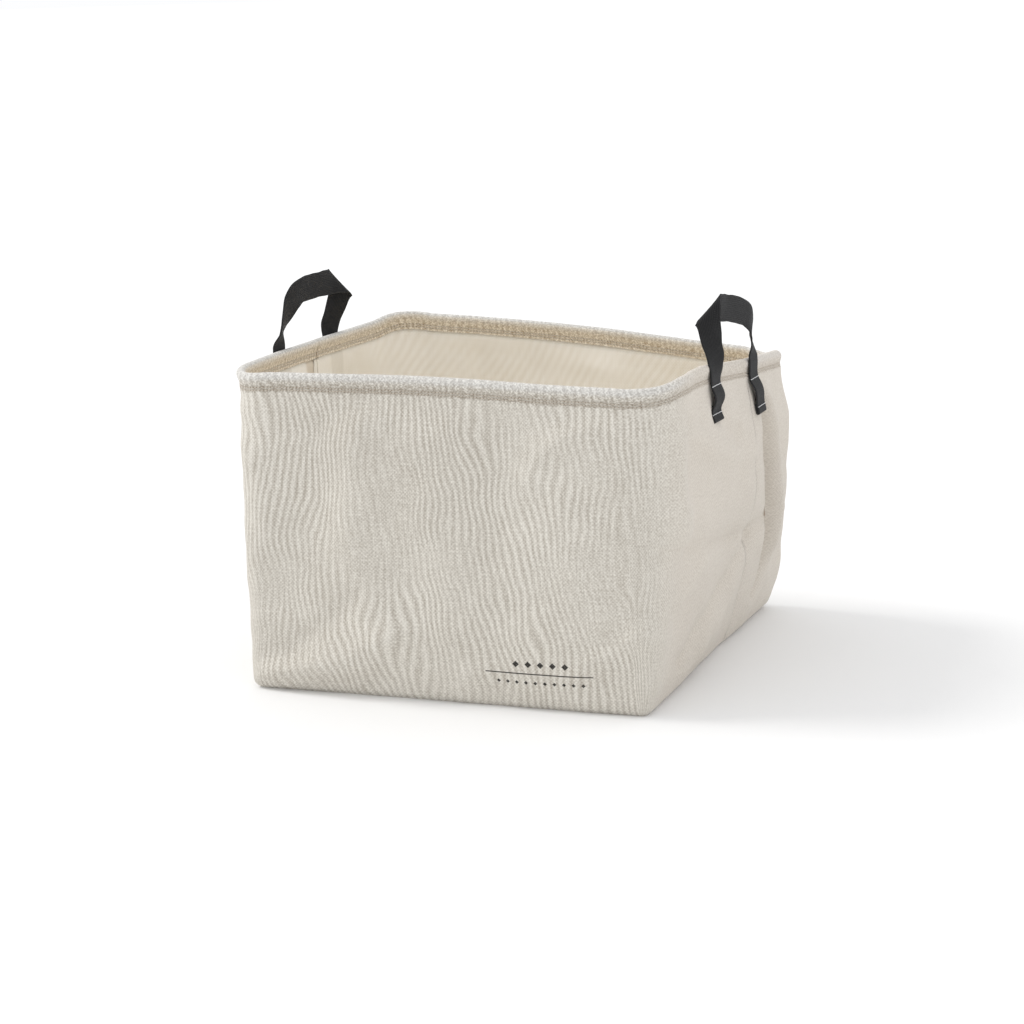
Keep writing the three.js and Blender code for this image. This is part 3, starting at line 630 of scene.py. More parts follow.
def panel(name, g0, g1, step=2.6):
    gs = spaced(g0, g1, step)
    h = rim_height(gs)
    low = np.concatenate([np.linspace(0, 0.022, 6)[:-1], np.linspace(0.022, 1, 82)[:-1]])
    n_low, n_hem = len(low), len(HEM_ROWS)
    rows = n_low + n_hem
    z = np.vstack([low[:, None] * (h - HEM_ROWS[0, 1])[None], h[None] - HEM_ROWS[:, 1:2]])
    n = np.concatenate([np.zeros(n_low), HEM_ROWS[:, 0]])[:, None] * np.ones(len(gs))[None]
    drop = np.concatenate([np.zeros(n_low), HEM_ROWS[:, 1]])
    inner_leg = np.concatenate([np.zeros(n_low, bool), np.arange(n_hem) > np.argmin(HEM_ROWS[:, 1])])
    # direction the cloth faces, in the plane that stands on the wall
    tn, tz = np.gradient(n, axis=0), np.gradient(z, axis=0)
    length = np.hypot(tn, tz)
    fn, fz = tz / length, -tn / length
    drop_all = h[None] - z
    thick = np.where(np.arange(rows)[:, None] < n_low, CLOTH, 0) + np.where(
        np.arange(rows)[:, None] >= n_low, 1.0 + 0.6 * smooth(18, 26, drop_all) * (~inner_leg[:, None]), 0)
    add = shift(gs[None], np.minimum(z, h[None] - 1.0))
    # the lift of the cloth on the hoop is one and the same on both sides of it
    outer = wall(gs[None], z, n + add)
    inner = wall(gs[None], z - fz * thick, n - fn * thick + add)
    cols = len(gs)
    u = along(gs)[None] * np.ones(rows)[:, None]
    path = np.concatenate([[0], np.cumsum(np.hypot(np.diff(n[:, 0]), np.diff(z[:, 0])))])[:, None]
    scale = (h / h[0])[None] * 0 + 1
    v = np.where(np.arange(rows)[:, None] < n_low, z, z[n_low][None] + (path - path[n_low]) * scale)
    signed = np.where(inner_leg[:, None], -drop_all, drop_all)
    uv_a = np.stack([u, v], -1) * MM
    uv_b = np.stack([u, signed], -1) * MM
    uv_c = np.stack([u, drop_all], -1) * MM
    points = np.concatenate([outer.reshape(-1, 3), inner.reshape(-1, 3)])
    n1 = rows * cols
    outside = grid_faces(rows, cols, 0, turn=True)
    inside = grid_faces(rows, cols, n1)
    c = np.arange(cols - 1)
    r = np.arange(rows - 1)
    bottom = np.stack([c, c + 1, n1 + c + 1, n1 + c], -1)
    top0 = (rows - 1) * cols
    top = np.stack([top0 + c, n1 + top0 + c, n1 + top0 + c + 1, top0 + c + 1], -1)
    left = np.stack([r * cols, n1 + r * cols, n1 + (r + 1) * cols, (r + 1) * cols], -1)
    last = cols - 1
    right = np.stack([r * cols + last, (r + 1) * cols + last, n1 + (r + 1) * cols + last, n1 + r * cols + last], -1)
    faces = np.concatenate([outside, inside, bottom, top, left, right])
    index = np.concatenate([np.zeros(len(outside), int), np.ones(len(inside), int),
                            np.zeros(len(faces) - len(outside) - len(inside), int)])
    ob = build(name, points, faces, (("cloth", np.concatenate([uv_a.reshape(-1, 2)] * 2)),
                                     ("hem", np.concatenate([uv_b.reshape(-1, 2), uv_c.reshape(-1, 2)]))), index)
    return ob, float(along(gs[-1]) - along(gs[0])), float(path[-1, 0])


# ------------------------------------------------------------------ handles: places, as in the CAD
def place_at(right, y, z):
    lo = 0.0 if right else 4.0
    hi = lo + 1
    for _ in range(40):
        g = (lo + hi) / 2
        if (float(wall(g, z)[1]) < y) == right:
            lo = g
        else:
            hi = g
    return (lo + hi) / 2


def unit(v):
    v = np.asarray(v, float)
    return v / np.linalg.norm(v)


def legs(right):
    middle = RIGHT_MIDDLE if right else LEFT_MIDDLE
    return [middle - LEG_SPAN / 2, middle + LEG_SPAN / 2]


def fold(right):
    ends, hs = [], []
    for y in legs(right):
        g = place_at(right, y, 290)
        h = float(rim_height(g))
        ends.append(wall(g, h - TUBE_R, TUBE_R + MID + GAP + WEB_T / 2 + 0.3))
        hs.append(h)
    at = [np.array([e[0], e[1], h + PIVOT_UP]) for e, h in zip(ends, hs)]
    a = unit(at[1] - at[0]) * (1 if right else -1)
    out = unit([a[1], -a[0], 0])
    return {"mid": (at[0] + at[1]) / 2, "along": a, "out": out, "up": np.cross(out, a), "leg": at}


RIGHT_LOOP = (
    ((0, -57, 0.7), (0.30, 1, 0)), ((-1.2, -57, 7.5), (0.42, 1, 0)), ((-3.7, -57, 14.5), (0.5, 0.91, 0)),
    ((-6, -57, 27), (0.65, 0.8, 0)), ((-7.8, -57, 36), (0.65, 0.65, 0.35)), ((-8.8, -55.5, 42.5), (0.55, 0.55, 0.65)),
    ((-8.8, -51.5, 46.8), (0.5, 0.5, 0.72)), ((-6.8, -45.5, 48), (0.35, 0.4, 0.85)), ((-4.5, -38, 47.6), (0.15, 0.2, 1)),
    ((-3.8, -18, 46.6), (0, 0.05, 1)), ((-2.2, -2, 45.4), (0, 0, 1)), ((-0.6, 10, 43.8), (0, 0, 1)),
    ((1, 24, 41), (0, 0.15, 1)), ((2.6, 36, 35.5), (-0.05, 0.5, 0.85)), ((2.2, 43, 27.5), (-0.2, 0.85, 0.45)),
    ((0, 48.5, 18.5), (-0.37, 0.93, 0.1)), ((0.3, 53.5, 9), (-0.25, 0.97, 0)), ((0, 57, 0.7), (0, 1, 0)))
LEFT_LOOP = (
    ((0, -57, 0.7), (0.30, 1, 0)), ((-1.5, -57, 9), (0.44, 1, 0)), ((-6.5, -57, 20), (0.6, 1, 0)),
    ((-10.3, -57, 30), (0.75, 1, 0.1)), ((-14, -57, 40), (0.65, 0.85, 0.6)), ((-16, -54.5, 46.8), (0.6, 0.8, 0.95)),
    ((-15, -48, 51.2), (0.5, 0.7, 1.1)), ((-12.5, -39, 51.6), (0.15, 0.2, 1)), ((-10, -20, 51.4), (0, 0, 1)),
    ((-8.3, -2, 51), (0, 0, 1)), ((-7.6, 17, 50), (0, 0.1, 1)), ((-7, 30, 46), (0.1, 0.45, 1)),
    ((-6, 38.5, 39.5), (0.1, 0.75, 0.6)), ((-5.3, 46, 29), (-0.1, 0.9, 0.3)), ((-3.8, 51.5, 20), (-0.3, 0.93, 0.1)),
    ((-2, 54.5, 12), (-0.37, 0.93, 0)), ((-0.5, 56.5, 5), (-0.1, 1, 0)), ((0, 57, 0.7), (0, 1, 0)))


def centripetal(points, u):
    """Point at share u of a centripetal Catmull-Rom curve."""
    p = np.asarray(points, float)
    n = len(p)
    f = (n - 1) * u
    i = min(int(math.floor(f)), n - 2)
    w = f - i
    p1, p2 = p[i], p[i + 1]
    p0 = p[i - 1] if i > 0 else 2 * p[0] - p[1]
    p3 = p[i + 2] if i + 2 < n else 2 * p[-1] - p[-2]
    d0, d1, d2 = (((b - a) @ (b - a)) ** 0.25 for a, b in ((p0, p1), (p1, p2), (p2, p3)))
    d1 = d1 if d1 > 1e-4 else 1.0
    d0, d2 = (d if d > 1e-4 else d1 for d in (d0, d2))
    t1 = ((p1 - p0) / d0 - (p2 - p0) / (d0 + d1) + (p2 - p1) / d1) * d1
    t2 = ((p2 - p1) / d1 - (p3 - p1) / (d1 + d2) + (p3 - p2) / d2) * d1
    return p1 + t1 * w + (-3 * p1 + 3 * p2 - 2 * t1 - t2) * w * w + (2 * p1 - 2 * p2 + t1 + t2) * w ** 3


FLAT, SEWN = OUT + GAP + THREAD + GAP + WEB_T / 2, GAP + WEB_T / 2


def tail_at(right, y, top, line, drop, n, straight):
    z = top - drop
    g = place_at(right, y + TAIL_LEAN * max(0.0, drop - TACK_UPPER), z)
    m = normal(g, z / float(rim_height(g)))
    across = unit([-m[1] + (line["along"][0] + m[1]) * straight, m[0] + (line["along"][1] - m[0]) * straight, 0])
    return cloth(g, z, n), across, np.array([across[1], -across[0], 0]), g


def strap(right):
    """The middle line of one handle from sewn end to sewn end, the direction of its width, and the tack places."""
    line = fold(right)
    keys = RIGHT_LOOP if right else LEFT_LOOP
    pts = [k[0] for k in keys]
    vec_local = lambda q: line["out"] * q[0] + line["along"] * q[1] + line["up"] * q[2]
    centres, widths = [], []
    count = 150
    for j in range(count + 1):
        u = j / count
        p = centripetal(pts, u)
        turn = min(1.0, min(u, 1 - u) * 56 / 5)
        t = centripetal(pts, min(1, u + 1.2 / 56)) - centripetal(pts, max(0, u - 1.2 / 56))
        t = unit(np.array([0, 0, 1.0 if u < 0.5 else -1.0]) * (1 - turn) + unit(t) * turn)
        f = u * (len(keys) - 1)
        k = min(int(math.floor(f)), len(keys) - 2)
        w = unit(unit(keys[k][1]) * (k + 1 - f) + unit(keys[k + 1][1]) * (f - k))
        centres.append(line["mid"] + vec_local(p))
        widths.append(vec_local(w) / max(float(np.linalg.norm(np.cross(w, t))), SLANT_LEAST))
    order = (0, 1) if right else (1, 0)
    tails, tacks = [], []
    for which in order:
        y = legs(right)[which]
        top = float(rim_height(place_at(right, y, 290)))
        leg = line["leg"][which]
        # the leg that folds over is already turned a little where it leaves the hem
        turned = 0.24 if (which == 0) == right else 0.0
        rows = [(leg - line["up"] * 2.6, unit(line["along"] + line["out"] * turned))]
        for drop, n, straight in (
            (TUBE_R + 0.6, TUBE_R + MID + GAP + WEB_T / 2 + 0.7, 0.7), (9.4, FLAT + 1.1, 0.3), (13, FLAT + 0.3, 0), (16, FLAT - 0.1, 0),
            (TACK_UPPER, FLAT - 0.15, 0), (21.2, FLAT + 0.3, 0), (24.0, 4.6, 0), (28, 5.5, 0), (32, 5.8, 0), (36, 5.0, 0), (39.5, 3.8, 0),
            (42.6, 3.05, 0), (TACK_LOWER, 2.75, 0), (47.8, 3.0, 0), (TAIL_END - 0.9, 3.0, 0),
        ):
            p, a, o, _ = tail_at(right, y, top, line, drop, n, straight)
            rows.append((p, unit(a + line["out"] * turned * straight * 0.8)))
        # turned under at the end, and back up behind
        p, a, o, _ = tail_at(right, y, top, line, TAIL_END - 0.9, 2.1, 0)
        bend = [(p + o * 0.9 * math.cos(k) - np.array([0, 0, 0.9 * math.sin(k)]), a) for k in np.linspace(0.35, math.pi, 8)]
        back = [tail_at(right, y, top, line, d, 1.2, 0)[:2] for d in (50, 47.2, 44.5, 43)]
        tails.append((rows, bend + back))
        for kind, drop, n in (("upper", TACK_UPPER, FLAT - 0.15), ("lower", TACK_LOWER, 2.75)):
            p, a, o, g = tail_at(right, y, top, line, drop, n, 0)
            tacks.append((("front", "rear")[which], kind, p, a, o))
        TAILS_FOUND.append((float(along(tail_at(right, y, top, line, 35, 0, 0)[3] + 0)), right))
    def dense(rows):
        c = np.array([r[0] for r in rows])
        w = np.array([r[1] for r in rows])
        n = len(rows)
        us = np.linspace(0, 1, 8 * (n - 1) + 1)
        return [centripetal(c, u) for u in us], [unit([np.interp(u * (n - 1), np.arange(n), w[:, k]) for k in range(3)]) for u in us]
    start_c, start_w = dense(tails[0][0])
    end_c, end_w = dense(tails[1][0])
    c = start_c[::-1] + centres + end_c
    w = start_w[::-1] + widths + end_w
    c, w = np.array(c), np.array(w)
    # evenly spaced, and eased a little
    s = np.concatenate([[0], np.cumsum(np.linalg.norm(np.diff(c, axis=0), axis=1))])
    keep = np.concatenate([[True], np.diff(s) > 1e-6])
    c, w, s = c[keep], w[keep], s[keep]
    q = np.linspace(0, s[-1], int(round(s[-1] / 1.0)) + 1)
    c = np.stack([np.interp(q, s, c[:, k]) for k in range(3)], -1)
    w = np.stack([np.interp(q, s, w[:, k]) for k in range(3)], -1)
    for _ in range(3):
        c[1:-1] = 0.25 * c[:-2] + 0.5 * c[1:-1] + 0.25 * c[2:]
        w[1:-1] = 0.25 * w[:-2] + 0.5 * w[1:-1] + 0.25 * w[2:]
    head = tails[0][1][::-1]
    foot = tails[1][1]
    c = np.vstack([[x[0] for x in head], c, [x[0] for x in foot]])
    w = np.vstack([[x[1] for x in head], w, [x[1] for x in foot]])
    return c, w, tacks, line


TAILS_FOUND = []


def ribbon(name, c, w):
    t = np.gradient(c, axis=0)
    t /= np.linalg.norm(t, axis=1)[:, None]
    o = np.cross(w, t)
    o /= np.linalg.norm(o, axis=1)[:, None]
    half, thin = WEB_W / 2, WEB_T / 2 - 0.05
    prof = []
    for a in np.linspace(-1, 1, 11):
        prof.append((a * (half - 0.9), thin * (1 - 0.05 * abs(math.sin(a * 9)))))
    for k in np.linspace(60, -60, 3):
        prof.append((half - 0.9 + 0.9 * math.cos(math.radians(k)), thin * math.sin(math.radians(k))))
    m = len(prof)
    prof += [(-a, -b) for a, b in prof]
    prof = np.array(prof)
    s = np.concatenate([[0], np.cumsum(np.linalg.norm(np.diff(c, axis=0), axis=1))])
    # edges of woven tape are never quite straight
    ripple = 0.16 * np.sin(s / 5.3) + 0.12 * np.sin(s / 2.9 + 1)
    pts = c[:, None] + w[:, None] * (prof[None, :, 0:1] + np.sign(prof[None, :, 0:1]) * ripple[:, None, None] * (np.abs(prof[None, :, 0:1]) > half - 1.5)) + o[:, None] * prof[None, :, 1:2]
    rows, cols = len(c), len(prof)
    faces = grid_faces(rows, cols, close_cols=True, turn=True)
    first, last = list(range(cols)), [(rows - 1) * cols + k for k in range(cols)][::-1]
    uv = np.stack([np.broadcast_to(prof[None, :, 0], (rows, cols)), np.broadcast_to(s[:, None], (rows, cols))], -1) * MM
    me = bpy.data.meshes.new(name)
    me.from_pydata((pts.reshape(-1, 3) * MM).tolist(), [], faces.tolist() + [first, last])
    corner = np.empty(len(me.loops), np.int32)
    me.loops.foreach_get("vertex_index", corner)
    layer = me.uv_layers.new(name="strap")
    layer.data.foreach_set("uv", uv.reshape(-1, 2)[corner].astype(np.float32).ravel())
    me.polygons.foreach_set("use_smooth", np.array([len(p.vertices) == 4 for p in me.polygons]))
    me.update()
    ob = bpy.data.objects.new(name, me)
    bpy.context.scene.collection.objects.link(ob)
    fix_normals(ob)
    return ob


def fix_normals(ob):
    """Turns a closed mesh's faces outwards if they all look inwards."""
    me = ob.data
    v = np.empty(len(me.vertices) * 3)
    me.vertices.foreach_get("co", v)
    v = v.reshape(-1, 3)
    me.calc_loop_triangles()
    tri = np.empty(len(me.loop_triangles) * 3, np.int32)
    me.loop_triangles.foreach_get("vertices", tri)
    a, b, c = (v[tri.reshape(-1, 3)[:, k]] for k in range(3))
    if float((a * np.cross(b, c)).sum()) < 0:
        me.flip_normals()


# ------------------------------------------------------------------ stitches
def capsules(name, mids, dirs, outs, length, radius, lift=0.14, sides=6, bends=None):
    """One thread stitch at each place: it rises out of the cloth, lies on it and dives back in."""
    mids, dirs, outs = (np.asarray(x, float) for x in (mids, dirs, outs))
    k = np.array([-1, -0.86, -0.5, 0, 0.5, 0.86, 1.0])
    size = np.array([0.45, 0.86, 1, 1, 1, 0.86, 0.45])
    up = np.array([-0.34, -0.04, 0.7, 1.0, 0.7, -0.04, -0.34]) * lift
    up[[0, -1]] = -radius * 1.1
    side_ = np.cross(dirs, outs)
    a = np.linspace(0, 2 * math.pi, sides, endpoint=False)
    centre = mids[:, None] + dirs[:, None] * (k[None, :, None] * length / 2) + outs[:, None] * up[None, :, None]
    ring = (outs[:, None, None] * np.cos(a)[None, None, :, None] + side_[:, None, None] * np.sin(a)[None, None, :, None]) * (radius * size)[None, :, None, None]
    pts = centre[:, :, None] + ring
    count, rows = len(mids), len(k)
    one = grid_faces(rows, sides, close_cols=True)
    per = rows * sides
    quads = (one[None] + (np.arange(count) * per)[:, None, None]).reshape(-1, 4)
    caps = []
    for i in range(count):
        caps.append([i * per + j for j in range(sides)])
        caps.append([i * per + (rows - 1) * sides + j for j in range(sides)][::-1])
    uv = np.stack([np.broadcast_to((k * length / 2)[None, :, None], pts.shape[:3]),
                   np.broadcast_to((a * radius)[None, None], pts.shape[:3])], -1) * MM
    me = bpy.data.meshes.new(name)
    me.from_pydata((pts.reshape(-1, 3) * MM).tolist(), [], quads.tolist() + caps)
    corner = np.empty(len(me.loops), np.int32)
    me.loops.foreach_get("vertex_index", corner)
    layer = me.uv_layers.new(name="thread")
    layer.data.foreach_set("uv", uv.reshape(-1, 2)[corner].astype(np.float32).ravel())
    me.polygons.foreach_set("use_smooth", np.full(len(me.polygons), True))
    me.update()
    ob = bpy.data.objects.new(name, me)
    bpy.context.scene.collection.objects.link(ob)
    fix_normals(ob)
    return ob


def row_of_stitches(name, g0, g1, spots, pitch=3.3, length=2.55, radius=0.27):
    """spots is (z of g, standing out, faces in or out) for each row; the rows are one mesh."""
    mids, dirs, outs = [], [], []
    rng = np.random.default_rng(len(name) * 7 + 1)
    for k, (height, n, sign) in enumerate(spots):
        gs = spaced(g0, g1, pitch)[1:-1]
        gs = gs + (k % 2) * 0.0035
        z = height(gs) + rng.normal(0, 0.10, len(gs))
        p = cloth(gs, z, n)
        ahead, behind = cloth(gs + 0.003, height(gs + 0.003), n), cloth(gs - 0.003, height(gs - 0.003), n)
        d = ahead - behind
        d[:, 2] += rng.normal(0, 0.05, len(gs)) * np.linalg.norm(d, axis=1)
        d /= np.linalg.norm(d, axis=1)[:, None]
        nn = np.concatenate([normal(gs, z / rim_height(gs)), np.zeros((len(gs), 1))], -1) * sign
        nn = nn - d * (nn * d).sum(1)[:, None]
        nn /= np.linalg.norm(nn, axis=1)[:, None]
        mids.append(p)
        dirs.append(d)
        outs.append(nn)
    return capsules(name, np.concatenate(mids), np.concatenate(dirs), np.concatenate(outs), length, radius)


# ------------------------------------------------------------------ camera
AZ, EL, ROLL = math.radians(21.453), math.radians(12.728), math.radians(-1.769)
back = Vector((math.sin(AZ) * math.cos(EL), -math.cos(AZ) * math.cos(EL), math.sin(EL)))
target = Vector((-0.029784, 0.052887, 0.121587))
right_ = (-back).cross(Vector((0, 0, 1))).normalized()
up_ = right_.cross(-back)
R = right_ * math.cos(ROLL) + up_ * math.sin(ROLL)
U = -right_ * math.sin(ROLL) + up_ * math.cos(ROLL)
cam = bpy.data.cameras.new("camera")
cam.lens, cam.sensor_width, cam.sensor_fit = 2300.0 / 1024 * 36, 36.0, "HORIZONTAL"
cam.clip_start, cam.clip_end = 0.05, 2500
eye = bpy.data.objects.new("camera", cam)
eye.matrix_world = Matrix.Translation(target + back * 2.2998) @ Matrix((R, U, back)).transposed().to_4x4()
bpy.context.scene.collection.objects.link(eye)
bpy.context.scene.camera = eye

# ------------------------------------------------------------------ handles first: they say where the cloth is shaded through
straps = {}
for where, right in (("right", True), ("left", False)):
    straps[where] = strap(right)
# painted strap shadows are strong on the left wall, which the key light shines through, and faint on the right
TAILS[:] = [(s * MM, 0.16 if r else 0.62) for s, r in TAILS_FOUND]
# the cloth of the left wall lies a full turn on from the front panel's count
LAP = float(np.interp(8.0, G_FINE, S_FINE))

SEAM_PLACES[:] = [float(along(SEAM_LEFT)) * MM]
crease_z = np.linspace(60, 262, 60)
path_ = np.array(RIGHT_FOLDS[0][0], float)[::-1]
crease_y = np.interp(crease_z, path_[:, 1], path_[:, 0])
crease_u = np.array([float(along(place_at(True, y, z))) for y, z in zip(crease_y, crease_z)])
CREASE[:] = [float(c) for c in np.polyfit(crease_z * MM, crease_u * MM, 3)[::-1]]
MAT_OUT, MAT_IN, MAT_WEB = canvas_outer(), None, webbing()
MAT_PALE = thread("thread_pale", rgb(196, 184, 166), rgb(236, 230, 218))
MAT_WHITE = thread("thread_white", rgb(205, 205, 206), rgb(250, 250, 250))
MAT_STEEL = steel()
fixed = []
for s, r in TAILS:
    # the front panel runs from the left seam on, the back panel from the right seam on
    for shift_by in (0.0, LAP * MM, -LAP * MM):
        fixed.append((s + shift_by, 0.16 if r else 0.62))
TAILS[:] = fixed
MAT_IN = canvas_inner()

# ------------------------------------------------------------------ walls
front, wide, tall = panel("canvas_front", SEAM_LEFT, 8 + SEAM_RIGHT)
finish_mesh(front, (MAT_OUT, MAT_IN))
fix_normals(front)
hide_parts("front_panel", "front_hem")
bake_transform(front)
rear, wide_b, tall_b = panel("canvas_back", SEAM_RIGHT, SEAM_LEFT)
finish_mesh(rear, (MAT_OUT, MAT_IN))
fix_normals(rear)
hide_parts("back_panel", "back_hem")
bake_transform(rear)

# ------------------------------------------------------------------ base
cols = 420
ring = spaced(0, 8, float(np.interp(8, G_FINE, S_FINE)) / cols)[:-1]
edge = wall(ring, 0.8, -CLOTH - 4.3)
middle = edge.mean(0)
shares = np.concatenate([np.linspace(0.02, 0.9, 52), np.linspace(0.92, 1, 6)])
flat_pts = middle[None, None] + (edge[None] - middle) * shares[:, None, None]
rise = (0.9 + 0.55 * LARGE(flat_pts * 0.8 + 50) + 0.22 * MEDIUM(flat_pts)) * (1 - smooth(0.9, 1.0, shares))[:, None]
rise = np.clip(rise, 0, 3)
upper = flat_pts.copy()
upper[..., 2] = 0.3 + CLOTH + rise
lower = flat_pts.copy()
lower[..., 2] = 0.3 + rise * 0.8
n1 = upper.shape[0] * upper.shape[1]
rows = len(shares)
pts = np.concatenate([upper.reshape(-1, 3), lower.reshape(-1, 3), [[middle[0], middle[1], float(upper[0, :, 2].mean())]], [[middle[0], middle[1], float(lower[0, :, 2].mean())]]])
faces = grid_faces(rows, len(ring), 0, close_cols=True).tolist() + grid_faces(rows, len(ring), n1, close_cols=True, turn=True).tolist()
k = np.arange(len(ring))
k1 = (k + 1) % len(ring)
o0 = (rows - 1) * len(ring)
faces += np.stack([o0 + k, n1 + o0 + k, n1 + o0 + k1, o0 + k1], -1).tolist()
faces += [[int(a), int(b), 2 * n1] for a, b in zip(k, k1)] + [[int(n1 + b), int(n1 + a), 2 * n1 + 1] for a, b in zip(k, k1)]
base_uv = pts[:, :2] * MM
base_hem = np.stack([pts[:, 0] * MM, np.full(len(pts), 0.2)], -1)
me = bpy.data.meshes.new("canvas_base")
me.from_pydata((pts * MM).tolist(), [], faces)
corner = np.empty(len(me.loops), np.int32)
me.loops.foreach_get("vertex_index", corner)
for layer_name, uv in (("cloth", base_uv + 1.37), ("hem", base_hem)):
    me.uv_layers.new(name=layer_name).data.foreach_set("uv", uv[corner].astype(np.float32).ravel())
n_up = (rows - 1) * len(ring)
idx = np.zeros(len(me.polygons), np.int32)
idx[:n_up] = 1
idx[len(faces) - 2 * len(ring):len(faces) - len(ring)] = 1
me.polygons.foreach_set("material_index", idx)
me.polygons.foreach_set("use_smooth", np.full(len(me.polygons), True))
me.update()
base = bpy.data.objects.new("canvas_base", me)
bpy.context.scene.collection.objects.link(base)
finish_mesh(base, (MAT_OUT, MAT_IN))
fix_normals(base)
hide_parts("base_panel")
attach(base, "shell")

# turned up seam edge round the base: two plies with a raw, wavy edge
cols = 520
gs = spaced(0, 8, float(np.interp(8, G_FINE, S_FINE)) / cols)[:-1]
wavy = waves(21, 30, 16, 60)
around = np.stack([along(gs), 0 * gs, 0 * gs], -1)
top = 10.6 + 0.5 * wavy(around)
lean = 0.25 + 0.22 * np.abs(wavy(around + 90))
prof = [(0, 2.0), (0, 0.35), (0, 0.72), (0.0, 0.96), (0.35, 1.0), (1.05, 1.0), (1.4, 0.96), (1.4, 0.7), (1.15, 0.42), (1.4, 0.22), (1.5, 2.0)]
pts = []
for a, b in prof:
    z = np.full(len(gs), 2.0) if b == 2.0 else 2.0 + (top - 2.0) * b
    lift = lean * np.clip((z - 4) / 7, 0, 1)
    pts.append(wall(gs, z, -CLOTH - 0.35 - lift - a + shift(gs, z)))
pts = np.array(pts)
seam_uv = np.stack([np.broadcast_to(along(gs)[None], pts.shape[:2]), pts[..., 2]], -1) * MM
base_seam = build("base_seam_edge", pts.reshape(-1, 3), grid_faces(len(prof), len(gs), close_rows=True, close_cols=True),
                  (("cloth", seam_uv.reshape(-1, 2)), ("hem", np.stack([seam_uv[..., 0], 0 * seam_uv[..., 0] + 0.2], -1).reshape(-1, 2))))
finish_mesh(base_seam, (MAT_OUT,))
fix_normals(base_seam)
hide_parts("base_seam")
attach(base_seam, "shell")
st = row_of_stitches("base_seam_stitches", 0.001, 7.999, ((lambda g: 5.4 + 0 * g, -CLOTH - 1.62, -1),), pitch=3.4)
finish_mesh(st, (MAT_PALE,))
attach(st, "shell")

# ------------------------------------------------------------------ side seams, pressed open inside
for name, seam in (("side_seam_right", SEAM_RIGHT), ("side_seam_left", SEAM_LEFT)):
    h = float(rim_height(seam))
    zs = np.linspace(12.5, h - 19.6, 130)
    across = np.array([-5.5, -5.4, -4.9, -3.6, -2.2, -1.0, -0.45, 0, 0.45, 1.0, 2.2, 3.6, 4.9, 5.4, 5.5])
    high = np.array([0.0, 0.8, 1.25, 1.35, 1.3, 1.1, 0.6, 0.3, 0.6, 1.1, 1.3, 1.35, 1.25, 0.8, 0.0])
    raw = waves(31, 24, 9, 40)
    edge_wave = 0.35 * raw(np.stack([zs, 0 * zs, 0 * zs], -1))
    gg = seam + (across[None] + np.sign(across)[None] * edge_wave[:, None] * (np.abs(across)[None] > 4)) / 300
    zz = zs[:, None] + 0 * across[None]
    lift = 0.18 * np.abs(raw(np.stack([zz, 40 * np.sign(gg - seam), 0 * zz], -1))) * (np.abs(across)[None] / 5.5)
    face_in = wall(gg, zz, -CLOTH - 0.15 - high[None] - lift + shift(gg, zz))
    face_out = wall(gg, zz, -CLOTH - 0.12 - lift * 0.8 + shift(gg, zz))
    rows, cs = face_in.shape[:2]
    n1 = rows * cs
    c, r = np.arange(cs - 1), np.arange(rows - 1)
    t0 = (rows - 1) * cs
    faces = np.concatenate([
        grid_faces(rows, cs), grid_faces(rows, cs, n1, turn=True),
        np.stack([c, n1 + c, n1 + c + 1, c + 1], -1), np.stack([t0 + c, t0 + c + 1, n1 + t0 + c + 1, n1 + t0 + c], -1),
        np.stack([r * cs, (r + 1) * cs, n1 + (r + 1) * cs, n1 + r * cs], -1),
        np.stack([r * cs + cs - 1, n1 + r * cs + cs - 1, n1 + (r + 1) * cs + cs - 1, (r + 1) * cs + cs - 1], -1)])
    uv = np.stack([along(gg), zz], -1).reshape(-1, 2) * MM
    hem = np.stack([along(gg), 0 * zz + 200], -1).reshape(-1, 2) * MM
    ob = build(name + "_edge", np.concatenate([face_in.reshape(-1, 3), face_out.reshape(-1, 3)]), faces,
               (("cloth", np.concatenate([uv, uv])), ("hem", np.concatenate([hem, hem]))))
    finish_mesh(ob, (MAT_IN,))
    fix_normals(ob)
    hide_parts(name)
    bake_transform(ob)

# ------------------------------------------------------------------ hem stitching, outside and inside
for which, g0, g1 in (("front", SEAM_LEFT, 8 + SEAM_RIGHT), ("back", SEAM_RIGHT, SEAM_LEFT)):
    for level, row in (("upper", STITCH_ROWS[0]), ("lower", STITCH_ROWS[1])):
        ob = row_of_stitches(f"{which}_hem_thread_{level}", g0, g1, (
            ((lambda g, d=row: rim_height(g) - d), 0.80, 1), ((lambda g, d=row: rim_height(g) - d), -2.92, -1)))
        finish_mesh(ob, (MAT_PALE,))
        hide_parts(f"{which}_hem_stitch_{level}")
        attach(ob, "rim")

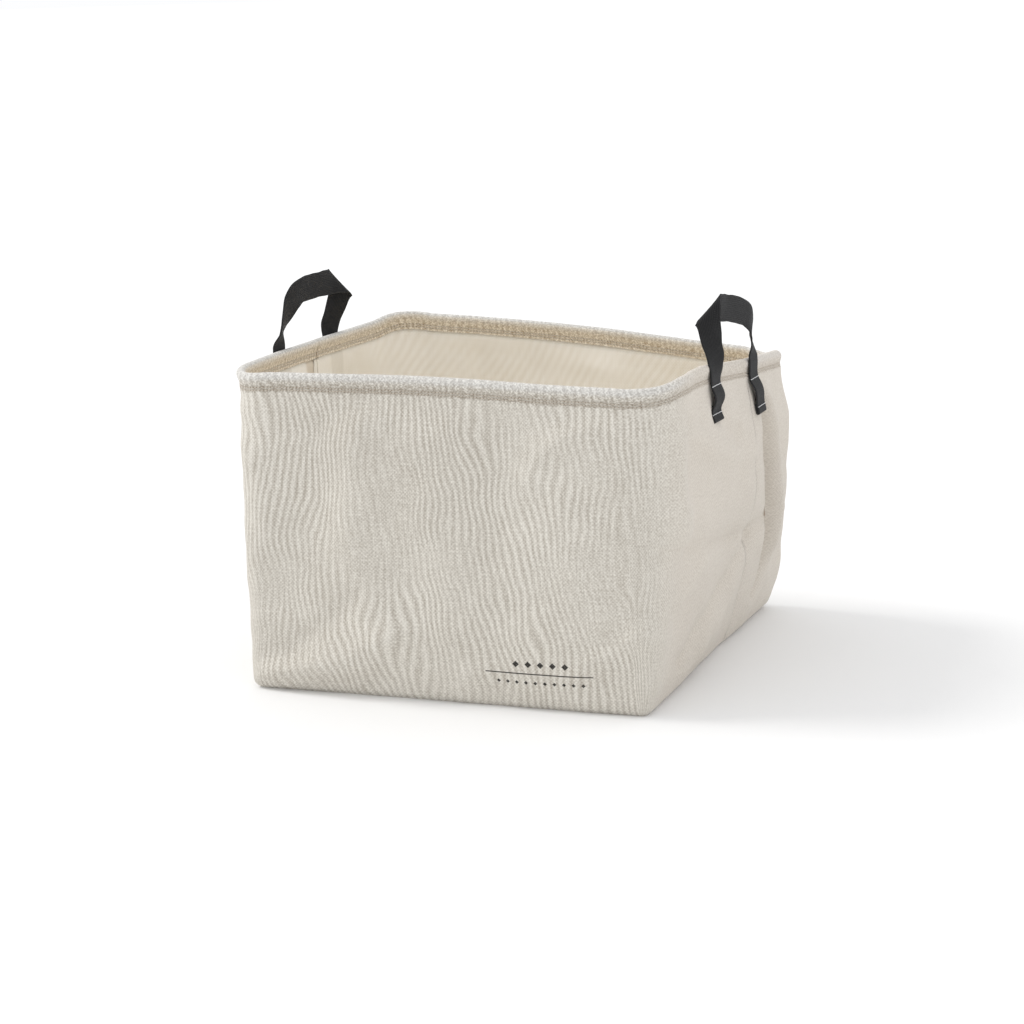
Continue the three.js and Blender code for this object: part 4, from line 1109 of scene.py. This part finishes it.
# ------------------------------------------------------------------ handles
for where in ("right", "left"):
    c, w, tacks, line = straps[where]
    ob = ribbon(f"handle_{where}_strap", c, w)
    finish_mesh(ob, (MAT_WEB,))
    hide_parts(f"handle_{where}_loop", f"handle_{where}_tail_front", f"handle_{where}_tail_rear")
    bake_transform(ob)
    for leg, kind, p, a, o in tacks:
        count = 8
        at = (np.arange(count) - (count - 1) / 2) * 3.12
        rng = np.random.default_rng(3 + len(where) * 5 + len(leg) * 3 + len(kind))
        mids = p[None] + a[None] * at[:, None] + o[None] * (WEB_T / 2 + 0.06)
        mids[:, 2] += rng.normal(0, 0.12, count)
        dirs = np.repeat(a[None], count, 0) + np.array([0, 0, 1.0])[None] * rng.normal(0, 0.05, count)[:, None]
        dirs /= np.linalg.norm(dirs, axis=1)[:, None]
        outs = np.repeat(o[None], count, 0)
        tk = capsules(f"handle_{where}_thread_{leg}_{kind}", mids, dirs, outs, 2.75, 0.34, lift=0.2, sides=8)
        finish_mesh(tk, (MAT_WHITE,))
        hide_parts(f"handle_{where}_tack_{leg}_{kind}")
        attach(tk, "rim")

# ------------------------------------------------------------------ hoop
for name in ("rim_wire", "rim_wire_ferrule"):
    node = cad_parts[name]
    if not node.material_slots:
        node.data.materials.append(MAT_STEEL)
    for s in node.material_slots:
        s.material = MAT_STEEL

# ------------------------------------------------------------------ floor and light
me = bpy.data.meshes.new("floor")
me.from_pydata([(-600, -600, 0), (600, -600, 0), (600, 600, 0), (-600, 600, 0)], [], [(0, 1, 2, 3)])
floor = bpy.data.objects.new("floor", me)
bpy.context.scene.collection.objects.link(floor)
q = Graph("floor_pale")
tc = q.t.nodes.new("ShaderNodeTexCoord")
q.set(Base_Color=q.mix(q.noise(tc.outputs["Object"], 3.0, 2.0), rgb(241, 241, 241), rgb(243, 243, 243)), Roughness=0.95, Specular_IOR_Level=0.0)
floor.data.materials.append(q.m)

world = bpy.data.worlds.new("studio")
world.use_nodes = True
bg = world.node_tree.nodes["Background"]
bg.inputs[0].default_value = (0.985, 0.99, 1.0, 1.0)
bg.inputs[1].default_value = 1.0
bpy.context.scene.world = world


def sun(name, towards, angle, strength, colour):
    light = bpy.data.lights.new(name, "SUN")
    light.angle, light.energy, light.color = math.radians(angle), strength, colour
    ob = bpy.data.objects.new(name, light)
    ob.matrix_world = Matrix.Translation(Vector(towards) * 3) @ (-Vector(towards)).to_track_quat("-Z", "Y").to_matrix().to_4x4()
    bpy.context.scene.collection.objects.link(ob)
    return ob


sun("key", Vector((-0.996 * math.cos(0.80), -0.095 * math.cos(0.80), math.sin(0.80))), 22, 1.15, (1.0, 0.985, 0.96))
bpy.context.scene.view_settings.view_transform = "Standard"
